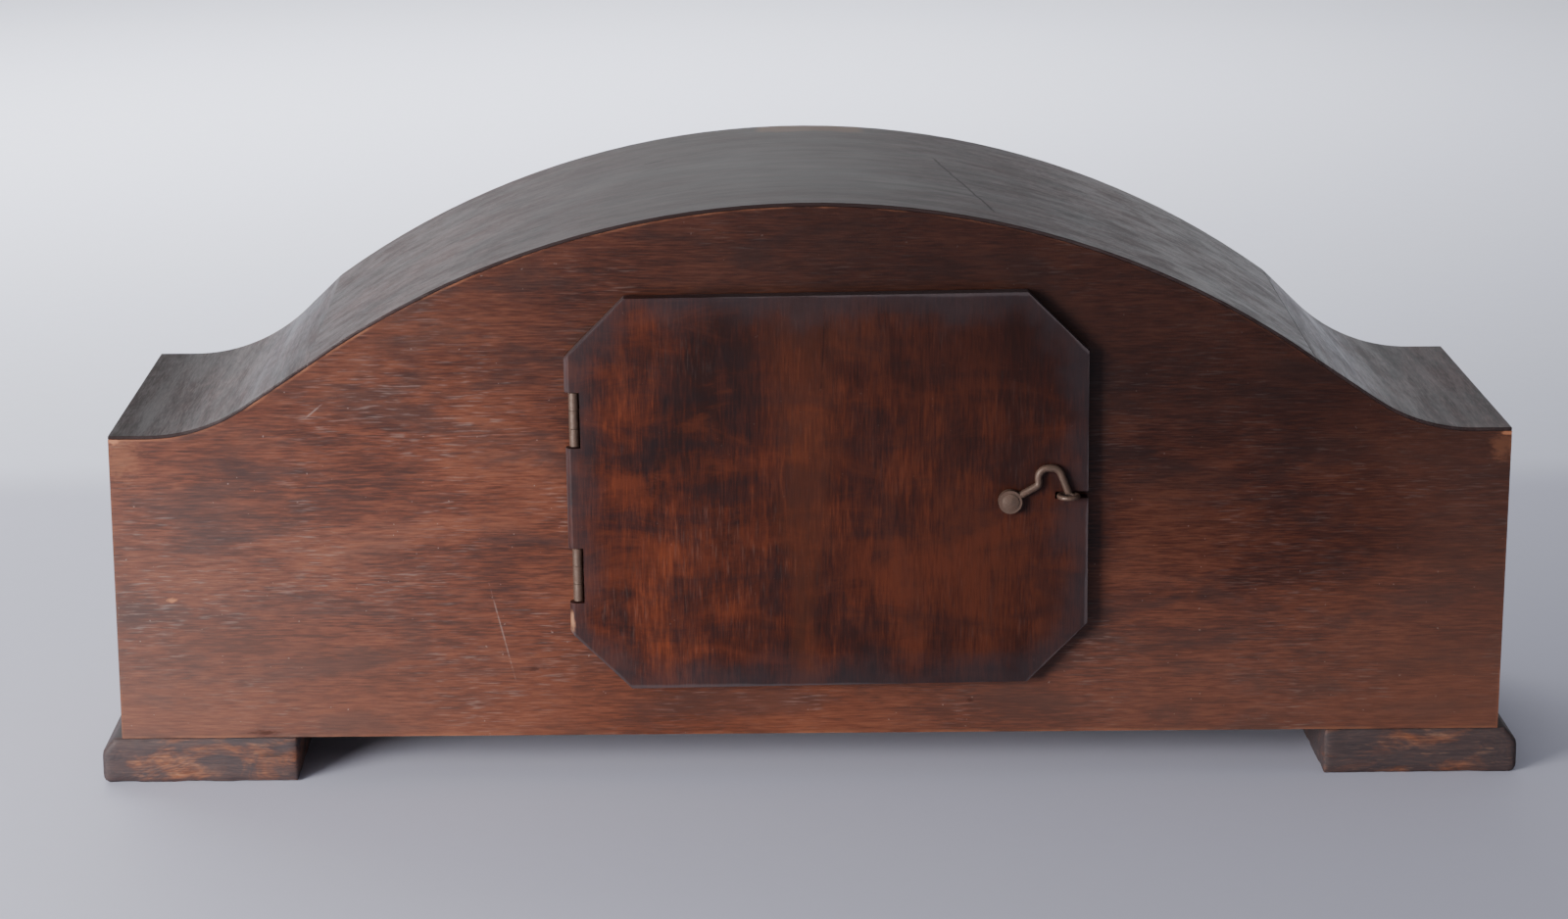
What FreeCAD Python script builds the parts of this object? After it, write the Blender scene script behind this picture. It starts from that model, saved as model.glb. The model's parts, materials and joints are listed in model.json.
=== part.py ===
import FreeCAD, Part
import math
import os

from FreeCAD import Vector

# A mantel clock of the hat form, millimetres. Z = 0 is under the feet, the dial faces -Y, the back
# door faces +Y, and left and right are as seen from the front, so the right side is +X.

# Case
CASE_WIDTH = 450.0
CASE_DEPTH = 119.0
SHOULDER_HEIGHT = 101.6
SHOULDER_LENGTH = 64.0
SHOULDER_FLAT = 12.0
BACK_ARCH_RISE = 74.4
BACK_CREASE_RISE = 23.2
BACK_COVE_RUN = 24.4
FRONT_ARCH_RISE = 79.7
FRONT_CREASE_RISE = 28.0
FRONT_COVE_RUN = 17.2
SKIN_THICKNESS = 1.2
FRONT_PANEL_THICKNESS = 12.0
BACK_PANEL_THICKNESS = 8.0
END_PANEL_THICKNESS = 8.0
BASE_THICKNESS = 10.0
GLUE_BLOCK_SIDE = 12.0
GLUE_BLOCK_HEIGHT = 60.0

# Feet
FOOT_HEIGHT = 15.5
FOOT_LENGTH = 64.0
FOOT_OVERHANG = 7.0
FOOT_CHAMFER_WIDTH = 4.3
FOOT_CHAMFER_HEIGHT = 5.0
FOOT_ROUND = 2.0
FOOT_SCREW_RADIUS = 1.9
FOOT_SCREW_HEAD_RADIUS = 3.8
FOOT_SCREW_SINK = 4.0
FOOT_SCREW_BITE = 7.0
FOOT_SCREW_INSET = 26.0

# Back door and the opening behind it, both octagons
DOOR_WIDTH = 167.0
DOOR_HEIGHT = 129.0
DOOR_CORNER = 19.5
DOOR_THICKNESS = 5.2
DOOR_GAP = 0.4
DOOR_OFFSET_X = -4.8
DOOR_CENTRE_HEIGHT = 82.8
DOOR_TILT = 0.65
OPENING_WIDTH = 120.0
OPENING_HEIGHT = 96.0
OPENING_CORNER = 16.0

# Door hinges
HINGE_LENGTH = 17.5
HINGE_UPPER_RISE = 25.1
HINGE_LOWER_DROP = 26.3
HINGE_BARREL_RADIUS = 1.65
HINGE_EDGE_RADIUS = 2.85
HINGE_PIN_RADIUS = 0.8
HINGE_LEAF_WIDTH = 14.0
HINGE_LEAF_THICKNESS = 1.0
HINGE_WEB_HALF = 0.6
HINGE_KNUCKLE_GAP = 0.15
HINGE_NOTCH_INSET = 1.95
HINGE_NOTCH_CLEARANCE = 0.4
HINGE_SCREW_RADIUS = 0.9
HINGE_SCREW_HEAD_RADIUS = 1.6
HINGE_SCREW_INSET = 4.0
HINGE_SCREW_SPREAD = 5.0
HINGE_SCREW_LENGTH = 4.0

# Hook and eye
HOOK_PIVOT_INSET = 25.2
HOOK_PIVOT_DROP = 3.5
HOOK_REACH = 18.7
HOOK_NECK = 9.2
HOOK_NECK_RISE = 5.3
HOOK_RISE = 10.8
HOOK_LEAN = 0.5
HOOK_BEND_RADIUS = 3.2
HOOK_NECK_BEND_RADIUS = 1.6
HOOK_WIRE_RADIUS = 1.2
HOOK_RING_RADIUS = 3.8
HOOK_RING_PROUD = 0.1
HOOK_STAND_OFF = 0.3
HOOK_TIP_CLEARANCE = 0.3
PIVOT_SCREW_RADIUS = 1.2
PIVOT_SCREW_HEAD_RADIUS = 2.7
PIVOT_SCREW_SIDE = 0.25
PIVOT_SCREW_CROWN = 0.35
PIVOT_SCREW_BITE = 4.0
EYE_RISE = 1.4
EYE_RADIUS = 3.0
EYE_WIRE_RADIUS = 0.8
EYE_SHANK_BITE = 6.0
EYE_SLOT_CLEARANCE = 0.35

# Dial, bezel and hands
DIAL_CENTRE_HEIGHT = 96.0
DIAL_RADIUS = 66.0
DIAL_THICKNESS = 0.8
DIAL_CENTRE_HOLE_RADIUS = 4.6
WINDING_HOLE_RADIUS = 5.0
APERTURE_RADIUS = 22.0
DIAL_RING_THICKNESS = 2.2
DIAL_RING_WIDTH = 7.7
DIAL_RING_LIP = 1.7
DIAL_RING_FIT = 0.3
BEZEL_GAP = 0.3
BEZEL_INNER_RADIUS = 61.0
BEZEL_HEIGHT = 7.0
BEZEL_SIDE = 2.0
BEZEL_CROWN = 7.0
BEZEL_LIP_HEIGHT = 1.2
BEZEL_LIP_DROP = 1.0
GLASS_SEAT = 3.0
GLASS_FIT = 0.3
GLASS_THICKNESS = 2.0
GLASS_RISE = 7.0
GLASS_FLANGE = 3.2
BEZEL_HINGE_OFFSET = 2.4
BEZEL_KNUCKLE_RADIUS = 2.0
BEZEL_KNUCKLE_LENGTH = 5.0
BEZEL_WEB_LAP = 1.0
BEZEL_PIN_RADIUS = 0.8
KNOB_RADIUS = 1.6
KNOB_STEM_RADIUS = 1.0
KNOB_LENGTH = 5.0
HAND_THICKNESS = 0.8
HOUR_HAND_LIFT = 1.4
MINUTE_HAND_LIFT = 3.4
HOUR_HAND_LENGTH = 38.0
MINUTE_HAND_LENGTH = 56.0
HAND_WIDTH = 4.0
HAND_BOSS_RADIUS = 5.0
HOUR_SPADE_RADIUS = 4.2
MINUTE_SPADE_RADIUS = 2.5
HAND_NUT_HEIGHT = 2.2
HAND_NUT_RADIUS = 2.8

# Movement frame
PLATE_THICKNESS = 2.0
PLATE_GAP = 36.0
PLATE_HALF_WIDTH = 44.0
PLATE_MARGIN_TOP = 14.0
PLATE_MARGIN_BOTTOM = 30.0
PLATE_CORNER = 8.0
PILLAR_RADIUS = 3.0
PILLAR_INSET = 6.5
PILLAR_PIVOT_RADIUS = 1.8
PILLAR_NUT_RADIUS = 3.4
PILLAR_NUT_HEIGHT = 2.4
MOVEMENT_SCREW_RADIUS = 1.5
MOVEMENT_SCREW_HEAD_RADIUS = 2.6
MOVEMENT_SCREW_HEAD_HEIGHT = 1.6
MOVEMENT_SCREW_BITE = 7.0
MOVEMENT_SCREW_INSET_X = 4.5
MOVEMENT_SCREW_INSET_Z = 17.0

# Going train
BARREL_TEETH = 72
SECOND_PINION_LEAVES = 8
BARREL_MODULE = 0.8
SECOND_TEETH = 50
CENTRE_PINION_LEAVES = 10
SECOND_MODULE = 0.85
CENTRE_TEETH = 72
THIRD_PINION_LEAVES = 6
CENTRE_MODULE = 0.58
THIRD_TEETH = 72
ESCAPE_PINION_LEAVES = 6
THIRD_MODULE = 0.52
BARREL_DROP = 38.0
ESCAPE_RISE = 30.0
WHEEL_THICKNESS = 1.6
WHEEL_RIM = 2.6
WHEEL_HUB_RADIUS = 4.4
WHEEL_SPOKES = 5
WHEEL_SPOKE_WIDTH = 2.4
ARBOR_RADIUS = 1.5
PIVOT_RADIUS = 0.9
PIVOT_SHAKE = 0.05
END_SHAKE = 0.3
PINION_OVERHANG = 1.0
CENTRE_ARBOR_RADIUS = 1.9
FIT = 0.01

# Places of the wheels between the plates, measured back from the front plate
GREAT_WHEEL_PLACE = 4.0
SECOND_WHEEL_PLACE = 28.0
CENTRE_WHEEL_PLACE = 32.2
THIRD_WHEEL_PLACE = 22.0
ESCAPE_WHEEL_PLACE = 10.0

# Barrel and winding work
BARREL_RADIUS = 23.0
BARREL_HEIGHT = 19.6
BARREL_WALL = 1.6
BARREL_FLOOR = 1.4
BARREL_CAP_THICKNESS = 1.4
WINDING_ARBOR_RADIUS = 3.0
WINDING_HUB_RADIUS = 4.4
WINDING_SQUARE = 4.2
WINDING_SQUARE_PROUD = 0.8
SPRING_THICKNESS = 0.4
SPRING_TURNS = 9
SPRING_WIDTH = 15.0
SPRING_CLEARANCE = 0.6
RATCHET_TEETH = 30
RATCHET_RADIUS = 12.0
RATCHET_DEPTH = 1.6
RATCHET_THICKNESS = 2.0
RATCHET_STAND_OFF = 0.5
CLICK_BEARING = 50.0
CLICK_CLEARANCE = 0.25
CLICK_LENGTH = 10.0
CLICK_WIDTH = 4.0
CLICK_SCREW_RADIUS = 1.2
CLICK_SCREW_HEAD_RADIUS = 2.4
CLICK_SCREW_HEAD_HEIGHT = 1.0
CLICK_SPRING_THICKNESS = 0.5
CLICK_SPRING_LENGTH = 14.0

# Motion work, in front of the front plate
CANNON_LEAVES = 10
MINUTE_WHEEL_TEETH = 30
MINUTE_PINION_LEAVES = 8
HOUR_WHEEL_TEETH = 32
MOTION_MODULE = 0.5
MOTION_WHEEL_THICKNESS = 1.2
MOTION_GAP = 1.2
CANNON_PIPE_RADIUS = 2.0
HOUR_PIPE_RADIUS = 3.2
CENTRE_TIP_RADIUS = 1.2
MINUTE_STUD_RADIUS = 0.6
MINUTE_STUD_BEARING = 135.0

# Escapement and pendulum
ESCAPE_TEETH = 40
ESCAPE_RADIUS = 12.0
ESCAPE_TOOTH_DEPTH = 1.6
ESCAPE_THICKNESS = 1.2
ESCAPE_HEEL_SHARE = -0.29
ESCAPE_TIP_START_SHARE = 0.01
ESCAPE_TIP_END_SHARE = 0.07
ESCAPE_FRONT_SHARE = 0.11
PALLET_SPAN = 8.5
PALLET_CLEARANCE = 0.2
PALLET_NIB = 0.3
PALLET_WIDTH = 3.0
PALLET_HUB_RADIUS = 2.6
PALLET_ARM_WIDTH = 2.4
CRUTCH_WIDTH = 2.4
CRUTCH_THICKNESS = 1.2
CRUTCH_LENGTH = 30.0
CRUTCH_STAND_OFF = 1.5
CRUTCH_FORK_GAP = 0.3
PENDULUM_LENGTH = 97.1
PENDULUM_STAND_OFF = 11.0
ROD_RADIUS = 1.2
ROD_HEAD_HALF = 3.2
ROD_HEAD_HEIGHT = 8.0
ROD_HEAD_SLIT = 1.1
ROD_HEAD_DROP = 3.4
BOB_RADIUS = 17.0
BOB_RIM = 3.0
BOB_CROWN = 3.0
RATING_NUT_RADIUS = 3.4
RATING_NUT_HEIGHT = 3.0
ROD_TAIL = 8.0
SUSPENSION_SPRING_THICKNESS = 0.2
SUSPENSION_SPRING_WIDTH = 4.4
SUSPENSION_SPRING_LENGTH = 11.0
COCK_WIDTH = 12.0
COCK_THICKNESS = 2.0
COCK_HEIGHT = 9.0
COCK_DROP = 4.0

# Values that follow from the sizes above
HALF_WIDTH = CASE_WIDTH / 2
BEZEL_OUTER_RADIUS = DIAL_RADIUS + DIAL_RING_FIT + DIAL_RING_WIDTH
BEZEL_BACK = DIAL_RING_THICKNESS + BEZEL_GAP
GLASS_FRONT = BEZEL_BACK + BEZEL_HEIGHT - BEZEL_LIP_HEIGHT - BEZEL_LIP_DROP
HOOK_LEVEL = DOOR_GAP + DOOR_THICKNESS + HOOK_STAND_OFF + HOOK_WIRE_RADIUS
FRONT_PROUD = GLASS_FRONT + GLASS_RISE
BACK_PROUD = HOOK_LEVEL + EYE_RADIUS + EYE_WIRE_RADIUS
FRONT_Y = (FRONT_PROUD - BACK_PROUD - CASE_DEPTH) / 2
BACK_Y = FRONT_Y + CASE_DEPTH
INNER_FRONT_Y = FRONT_Y + FRONT_PANEL_THICKNESS
INNER_BACK_Y = BACK_Y - BACK_PANEL_THICKNESS
SHOULDER_Z = FOOT_HEIGHT + SHOULDER_HEIGHT
FLOOR_Z = FOOT_HEIGHT + BASE_THICKNESS
DIAL_Z = FOOT_HEIGHT + DIAL_CENTRE_HEIGHT
SKY_Z = SHOULDER_Z + 2 * max(FRONT_ARCH_RISE, BACK_ARCH_RISE)
CREASE_X = HALF_WIDTH - SHOULDER_LENGTH
ALONG_Y = Vector(0, 1, 0)

parts = {}


def box(x0, x1, y0, y1, z0, z1):
    """A block between two corners."""
    return Part.makeBox(x1 - x0, y1 - y0, z1 - z0, Vector(x0, y0, z0))


def rod(x, z, y0, y1, radius):
    """A round bar along Y."""
    return Part.makeCylinder(radius, y1 - y0, Vector(x, y0, z), ALONG_Y)


def tube(x, z, y0, y1, outer, inner):
    """A round pipe along Y."""
    return rod(x, z, y0, y1, outer).cut(rod(x, z, y0, y1, inner))


def cone(x, z, y0, y1, radius0, radius1):
    """A taper along Y from radius0 at y0 to radius1 at y1."""
    low, high = (y0, y1) if y0 < y1 else (y1, y0)
    ends = (radius0, radius1) if y0 < y1 else (radius1, radius0)
    return Part.makeCone(ends[0], ends[1], high - low, Vector(x, low, z), ALONG_Y)


def slab(points, y0, y1):
    """A flat piece with straight edges, its outline given as x, z points."""
    wire = Part.makePolygon([Vector(x, y0, z) for x, z in points + points[:1]])
    return Part.Face(wire).extrude(Vector(0, y1 - y0, 0))


def turned(section, x, z):
    """A piece turned about the Y axis through x, z, from a closed section of edges in r, y."""
    face = Part.Face(Part.Wire(section))
    solid = face.revolve(Vector(0, 0, 0), ALONG_Y, 360)
    solid = Part.Solid(solid) if solid.ShapeType == "Shell" else solid
    return solid.translated(Vector(x, 0, z))


def run(points):
    """Straight edges through r, y points."""
    return [Part.LineSegment(Vector(a[0], a[1], 0), Vector(b[0], b[1], 0)).toShape()
            for a, b in zip(points, points[1:])]


def bow(start, middle, end):
    """An arc through three r, y points."""
    return Part.Arc(*[Vector(r, y, 0) for r, y in (start, middle, end)]).toShape()


def cap(radius, y, rise):
    """An arc of a sphere on the axis, from its rim at y to a pole that stands off by rise."""
    height = abs(rise)
    sphere = (radius ** 2 + height ** 2) / (2 * height)
    half_way = math.sqrt(sphere ** 2 - (radius / 2) ** 2) - (sphere - height)
    return bow((radius, y), (radius / 2, y + math.copysign(half_way, rise)), (0, y + rise))


def fuse(first, *others):
    """One solid from pieces that touch, with its joint lines removed."""
    return first.multiFuse(list(others)).removeSplitter()


def octagon(x, z, width, height, corner):
    """Corner points of a box outline with its corners cut off at 45 degrees."""
    left, right = x - width / 2, x + width / 2
    low, high = z - height / 2, z + height / 2
    return [(left + corner, low), (right - corner, low), (right, low + corner), (right, high - corner),
            (right - corner, high), (left + corner, high), (left, high - corner), (left, low + corner)]


# Case


def case_outline(y, arch_rise, crease_rise, cove_run):
    """Outline of the case on a plane y: level shoulders, coves, straight runs, and the arch over them."""
    apex_z = SHOULDER_Z + arch_rise
    crease = (CREASE_X, SHOULDER_Z + crease_rise)
    cove_x = HALF_WIDTH - SHOULDER_FLAT
    reach = cove_x - CREASE_X
    cove_radius = (reach ** 2 + crease_rise ** 2 - cove_run ** 2) / (2 * crease_rise)
    cove_z = SHOULDER_Z + cove_radius
    bearing = math.atan2(crease[1] - cove_z, crease[0] - cove_x) + 2 * math.pi
    tangent = bearing + math.atan(cove_run / cove_radius)
    bottom = 1.5 * math.pi

    def on_cove(angle):
        return (cove_x + cove_radius * math.cos(angle), cove_z + cove_radius * math.sin(angle))

    cove = [on_cove(bottom), on_cove((bottom + tangent) / 2), on_cove(tangent)]

    def at(point, side=1):
        return Vector(side * point[0], y, point[1])

    def half(side):
        foot, top = (HALF_WIDTH, FOOT_HEIGHT), (HALF_WIDTH, SHOULDER_Z)
        edges = [Part.LineSegment(at(foot, side), at(top, side)),
                 Part.LineSegment(at(top, side), at(cove[0], side)),
                 Part.Arc(at(cove[0], side), at(cove[1], side), at(cove[2], side)),
                 Part.LineSegment(at(cove[2], side), at(crease, side))]
        return [edge.toShape() for edge in edges]

    arch = Part.Arc(at(crease), Vector(0, y, apex_z), at(crease, -1)).toShape()
    base = Part.LineSegment(at((HALF_WIDTH, FOOT_HEIGHT), -1), at((HALF_WIDTH, FOOT_HEIGHT))).toShape()
    return Part.Wire(half(1) + [arch] + half(-1)[::-1] + [base])


def case_hull():
    """The outer form of the case: the front hump stands a little higher than the back one."""
    back = case_outline(BACK_Y, BACK_ARCH_RISE, BACK_CREASE_RISE, BACK_COVE_RUN)
    front = case_outline(FRONT_Y, FRONT_ARCH_RISE, FRONT_CREASE_RISE, FRONT_COVE_RUN)
    return Part.makeLoft([back, front], True, True)


hull = case_hull()
under_skin = hull.translated(Vector(0, 0, -SKIN_THICKNESS))
skin = hull.cut(under_skin)


def under_the_skin(y0, y1):
    """The full outline of a board that stands below the skin between two planes."""
    return under_skin.common(box(-HALF_WIDTH, HALF_WIDTH, y0, y1, FOOT_HEIGHT, SKY_Z))


def skin_between(x0, x1):
    """The stretch of the top skin between two planes."""
    return skin.common(box(x0, x1, FRONT_Y, BACK_Y, FOOT_HEIGHT, SKY_Z))


front_panel = under_the_skin(FRONT_Y, INNER_FRONT_Y)
back_panel = under_the_skin(INNER_BACK_Y, BACK_Y)
base_board = box(-HALF_WIDTH, HALF_WIDTH, INNER_FRONT_Y, INNER_BACK_Y, FOOT_HEIGHT, FLOOR_Z)
parts["top_arch"] = skin_between(-CREASE_X, CREASE_X)
parts["left_shoulder"] = skin_between(-HALF_WIDTH, -CREASE_X)
parts["right_shoulder"] = skin_between(CREASE_X, HALF_WIDTH)

end_panel = box(HALF_WIDTH - END_PANEL_THICKNESS, HALF_WIDTH, INNER_FRONT_Y, INNER_BACK_Y, FLOOR_Z,
                SHOULDER_Z - SKIN_THICKNESS)
across = Vector(1, 0, 0)
parts["right_end_panel"] = end_panel
parts["left_end_panel"] = end_panel.mirror(Vector(0, 0, 0), across)

block_x = HALF_WIDTH - END_PANEL_THICKNESS
blocks = []
for side in (-1, 1):
    for y0 in (INNER_FRONT_Y, INNER_BACK_Y - GLUE_BLOCK_SIDE):
        x0, x1 = sorted((side * block_x, side * (block_x - GLUE_BLOCK_SIDE)))
        blocks.append(box(x0, x1, y0, y0 + GLUE_BLOCK_SIDE, FLOOR_Z, FLOOR_Z + GLUE_BLOCK_HEIGHT))
parts["glue_blocks"] = Part.makeCompound(blocks)


# Feet


def foot_blank():
    """The right foot: chamfered along its outer side and its front, flush with the back."""
    outer, inner = HALF_WIDTH + FOOT_OVERHANG, HALF_WIDTH + FOOT_OVERHANG - FOOT_LENGTH
    front = FRONT_Y - FOOT_OVERHANG
    chamfer_z = FOOT_HEIGHT - FOOT_CHAMFER_HEIGHT
    turn = FOOT_ROUND * (1 - math.sqrt(0.5))

    def ends(x, z):
        return Vector(x, front, z)

    rim = [(outer, FOOT_ROUND), (outer, chamfer_z), (outer - FOOT_CHAMFER_WIDTH, FOOT_HEIGHT),
           (inner, FOOT_HEIGHT), (inner, 0), (outer - FOOT_ROUND, 0)]
    edges = [Part.LineSegment(ends(*a), ends(*b)).toShape() for a, b in zip(rim, rim[1:])]
    edges.append(Part.Arc(ends(*rim[-1]), ends(outer - turn, turn), ends(*rim[0])).toShape())
    bar = Part.Face(Part.Wire(edges)).extrude(Vector(0, BACK_Y - front, 0))
    slope = [(front, 0), (front, chamfer_z), (front + FOOT_CHAMFER_WIDTH, FOOT_HEIGHT),
             (BACK_Y, FOOT_HEIGHT), (BACK_Y, 0), (front, 0)]
    side = Part.Face(Part.makePolygon([Vector(inner, y, z) for y, z in slope]))
    return bar.common(side.extrude(Vector(FOOT_LENGTH, 0, 0)))


def foot_screw(x, y, clearance=0.0):
    """A countersunk screw up through the foot, with room added for its hole."""
    up = Vector(0, 0, 1)
    head_rise = FOOT_SCREW_HEAD_RADIUS - FOOT_SCREW_RADIUS
    neck = FOOT_SCREW_SINK + head_rise
    head = Part.makeCone(FOOT_SCREW_HEAD_RADIUS, FOOT_SCREW_RADIUS, head_rise,
                         Vector(x, y, FOOT_SCREW_SINK), up)
    length = FOOT_HEIGHT + FOOT_SCREW_BITE + clearance - neck
    shank = Part.makeCylinder(FOOT_SCREW_RADIUS + clearance, length, Vector(x, y, neck), up)
    return fuse(head, shank)


foot_middle_x = HALF_WIDTH + FOOT_OVERHANG - FOOT_LENGTH / 2
screw_places = [(side * foot_middle_x, y) for side in (-1, 1)
                for y in (FRONT_Y + FOOT_SCREW_INSET, BACK_Y - FOOT_SCREW_INSET)]
feet = [foot_blank(), foot_blank().mirror(Vector(0, 0, 0), across)]
for x, y in screw_places:
    hole = foot_screw(x, y, PIVOT_SHAKE)
    well = Part.makeCylinder(FOOT_SCREW_HEAD_RADIUS, FOOT_SCREW_SINK, Vector(x, y, 0))
    feet = [foot.cut(hole).cut(well) for foot in feet]
    base_board = base_board.cut(hole)
parts["right_foot"], parts["left_foot"] = feet
parts["base_board"] = base_board
parts["foot_screws"] = Part.makeCompound([foot_screw(x, y) for x, y in screw_places])

# Back door, modelled square and then turned by the small tilt that it hangs at
DOOR_Z = FOOT_HEIGHT + DOOR_CENTRE_HEIGHT
DOOR_IN_Y = BACK_Y + DOOR_GAP
DOOR_OUT_Y = DOOR_IN_Y + DOOR_THICKNESS
HINGE_X = DOOR_OFFSET_X + DOOR_WIDTH / 2 - HINGE_EDGE_RADIUS
HINGE_Y = DOOR_IN_Y + DOOR_THICKNESS / 2
HINGE_LEVELS = (DOOR_Z + HINGE_UPPER_RISE, DOOR_Z - HINGE_LOWER_DROP)
LATCH_EDGE_X = DOOR_OFFSET_X - DOOR_WIDTH / 2
PIVOT_X = LATCH_EDGE_X + HOOK_PIVOT_INSET
PIVOT_Z = DOOR_Z - HOOK_PIVOT_DROP
EYE_X = PIVOT_X - HOOK_REACH
EYE_Z = PIVOT_Z + EYE_RISE
HOOK_Y = BACK_Y + HOOK_LEVEL
HOOK_RING_HALF = HOOK_WIRE_RADIUS + HOOK_RING_PROUD
KNUCKLE = HINGE_LENGTH / 3


def tilted(shape):
    """The shape turned with the door about the door's centre."""
    return shape.rotated(Vector(DOOR_OFFSET_X, 0, DOOR_Z), ALONG_Y, DOOR_TILT)


def upright(x, y, z0, z1, radius):
    """A round bar along Z."""
    return Part.makeCylinder(radius, z1 - z0, Vector(x, y, z0))


def countersunk(x, z, y, into, clearance=0.0):
    """A small wood screw whose head lies flush at y and whose shank goes along Y by into."""
    way = math.copysign(1, into)
    neck = y + way * (HINGE_SCREW_HEAD_RADIUS - HINGE_SCREW_RADIUS)
    tip = y + into + way * clearance
    head = cone(x, z, y, neck, HINGE_SCREW_HEAD_RADIUS, HINGE_SCREW_RADIUS)
    return fuse(head, rod(x, z, min(neck, tip), max(neck, tip), HINGE_SCREW_RADIUS + clearance))


def frame_leaf(level):
    """The leaf let into the back panel, with a web up to its two knuckles."""
    low, high = level - HINGE_LENGTH / 2, level + HINGE_LENGTH / 2
    leaf = box(HINGE_X - HINGE_LEAF_WIDTH, HINGE_X + HINGE_WEB_HALF, BACK_Y - HINGE_LEAF_THICKNESS,
               BACK_Y, low, high)
    pieces = []
    for z0, z1 in ((low, low + KNUCKLE - HINGE_KNUCKLE_GAP), (high - KNUCKLE + HINGE_KNUCKLE_GAP, high)):
        pieces.append(box(HINGE_X - HINGE_WEB_HALF, HINGE_X + HINGE_WEB_HALF, BACK_Y, HINGE_Y, z0, z1))
        pieces.append(upright(HINGE_X, HINGE_Y, z0, z1, HINGE_BARREL_RADIUS))
    return fuse(leaf, *pieces).cut(upright(HINGE_X, HINGE_Y, low, high, HINGE_PIN_RADIUS + FIT))


def door_leaf(level):
    """The leaf let into the door's inner face, with a web to its one knuckle."""
    low, high = level - HINGE_LENGTH / 2, level + HINGE_LENGTH / 2
    leaf = box(HINGE_X - HINGE_LEAF_WIDTH, HINGE_X - HINGE_NOTCH_INSET, DOOR_IN_Y,
               DOOR_IN_Y + HINGE_LEAF_THICKNESS, low, high)
    z0, z1 = low + KNUCKLE, high - KNUCKLE
    web = box(HINGE_X - HINGE_NOTCH_INSET, HINGE_X - HINGE_PIN_RADIUS, DOOR_IN_Y,
              HINGE_Y - HINGE_PIN_RADIUS, z0, z1)
    barrel = upright(HINGE_X, HINGE_Y, z0, z1, HINGE_BARREL_RADIUS)
    return fuse(leaf, web, barrel).cut(upright(HINGE_X, HINGE_Y, low, high, HINGE_PIN_RADIUS + PIVOT_SHAKE))


def door_blank():
    """The octagonal board, its hinge edge rounded about the hinge axis."""
    low, high = DOOR_Z - DOOR_HEIGHT / 2, DOOR_Z + DOOR_HEIGHT / 2
    outline = octagon(DOOR_OFFSET_X, DOOR_Z, DOOR_WIDTH, DOOR_HEIGHT, DOOR_CORNER)
    board = slab(outline, DOOR_IN_Y, DOOR_OUT_Y)
    nose = board.common(upright(HINGE_X, HINGE_Y, low, high, HINGE_EDGE_RADIUS))
    flat = board.common(box(LATCH_EDGE_X, HINGE_X, DOOR_IN_Y, DOOR_OUT_Y, low, high))
    return fuse(flat, nose)


def hook_path(points, bends):
    """A wire through x, z points on the hook's plane, each inner corner rounded by its own radius."""
    spots = [Vector(x, HOOK_Y, z) for x, z in points]
    edges, start = [], spots[0]
    for before, corner, after, radius in zip(spots, spots[1:], spots[2:], bends):
        back, ahead = (before - corner).normalize(), (after - corner).normalize()
        half_angle = back.getAngle(ahead) / 2
        reach = radius / math.tan(half_angle)
        inward = (back + ahead).normalize()
        middle = corner + inward * (radius / math.sin(half_angle) - radius)
        entry, leave = corner + back * reach, corner + ahead * reach
        edges.append(Part.LineSegment(start, entry).toShape())
        edges.append(Part.Arc(entry, middle, leave).toShape())
        start = leave
    edges.append(Part.LineSegment(start, spots[-1]).toShape())
    return Part.Wire(edges)


def latch_hook():
    """A bent wire hook: ring on the pivot, swan neck, and a tip that stands just above the eye."""
    tip = (EYE_X, EYE_Z + EYE_WIRE_RADIUS + HOOK_TIP_CLEARANCE)
    top = PIVOT_Z + HOOK_RISE
    neck = (PIVOT_X - HOOK_NECK, PIVOT_Z + HOOK_NECK_RISE)
    points = [(PIVOT_X, PIVOT_Z), neck, (neck[0] + HOOK_LEAN, top),
              (EYE_X + HOOK_BEND_RADIUS, top), tip]
    path = hook_path(points, (HOOK_NECK_BEND_RADIUS, HOOK_BEND_RADIUS, HOOK_BEND_RADIUS))
    first = path.Edges[0]
    profile = Part.Wire(Part.makeCircle(HOOK_WIRE_RADIUS, first.valueAt(first.FirstParameter),
                                        first.tangentAt(first.FirstParameter)))
    wire = path.makePipeShell([profile], True, False)
    y0, y1 = HOOK_Y - HOOK_RING_HALF, HOOK_Y + HOOK_RING_HALF
    ring = rod(PIVOT_X, PIVOT_Z, y0, y1, HOOK_RING_RADIUS)
    return fuse(ring, wire).cut(rod(PIVOT_X, PIVOT_Z, y0, y1, PIVOT_SCREW_RADIUS + PIVOT_SHAKE))


def pivot_screw():
    """The round-headed screw that the hook turns on."""
    seat = HOOK_Y + HOOK_RING_HALF + PIVOT_SHAKE
    side = seat + PIVOT_SCREW_SIDE
    section = run([(0, seat), (PIVOT_SCREW_HEAD_RADIUS, seat), (PIVOT_SCREW_HEAD_RADIUS, side)])
    section.append(cap(PIVOT_SCREW_HEAD_RADIUS, side, PIVOT_SCREW_CROWN))
    section += run([(0, side + PIVOT_SCREW_CROWN), (0, seat)])
    shank = rod(PIVOT_X, PIVOT_Z, DOOR_OUT_Y - PIVOT_SCREW_BITE, seat, PIVOT_SCREW_RADIUS)
    return fuse(turned(section, PIVOT_X, PIVOT_Z), shank)


def latch_eye():
    """A screw eye with its ring level, so that the hook drops in from above."""
    ring = Part.makeTorus(EYE_RADIUS, EYE_WIRE_RADIUS, Vector(EYE_X, HOOK_Y, EYE_Z))
    shank = rod(EYE_X, EYE_Z, BACK_Y - EYE_SHANK_BITE, HOOK_Y - EYE_RADIUS, EYE_WIRE_RADIUS)
    return fuse(ring, shank)


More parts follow.
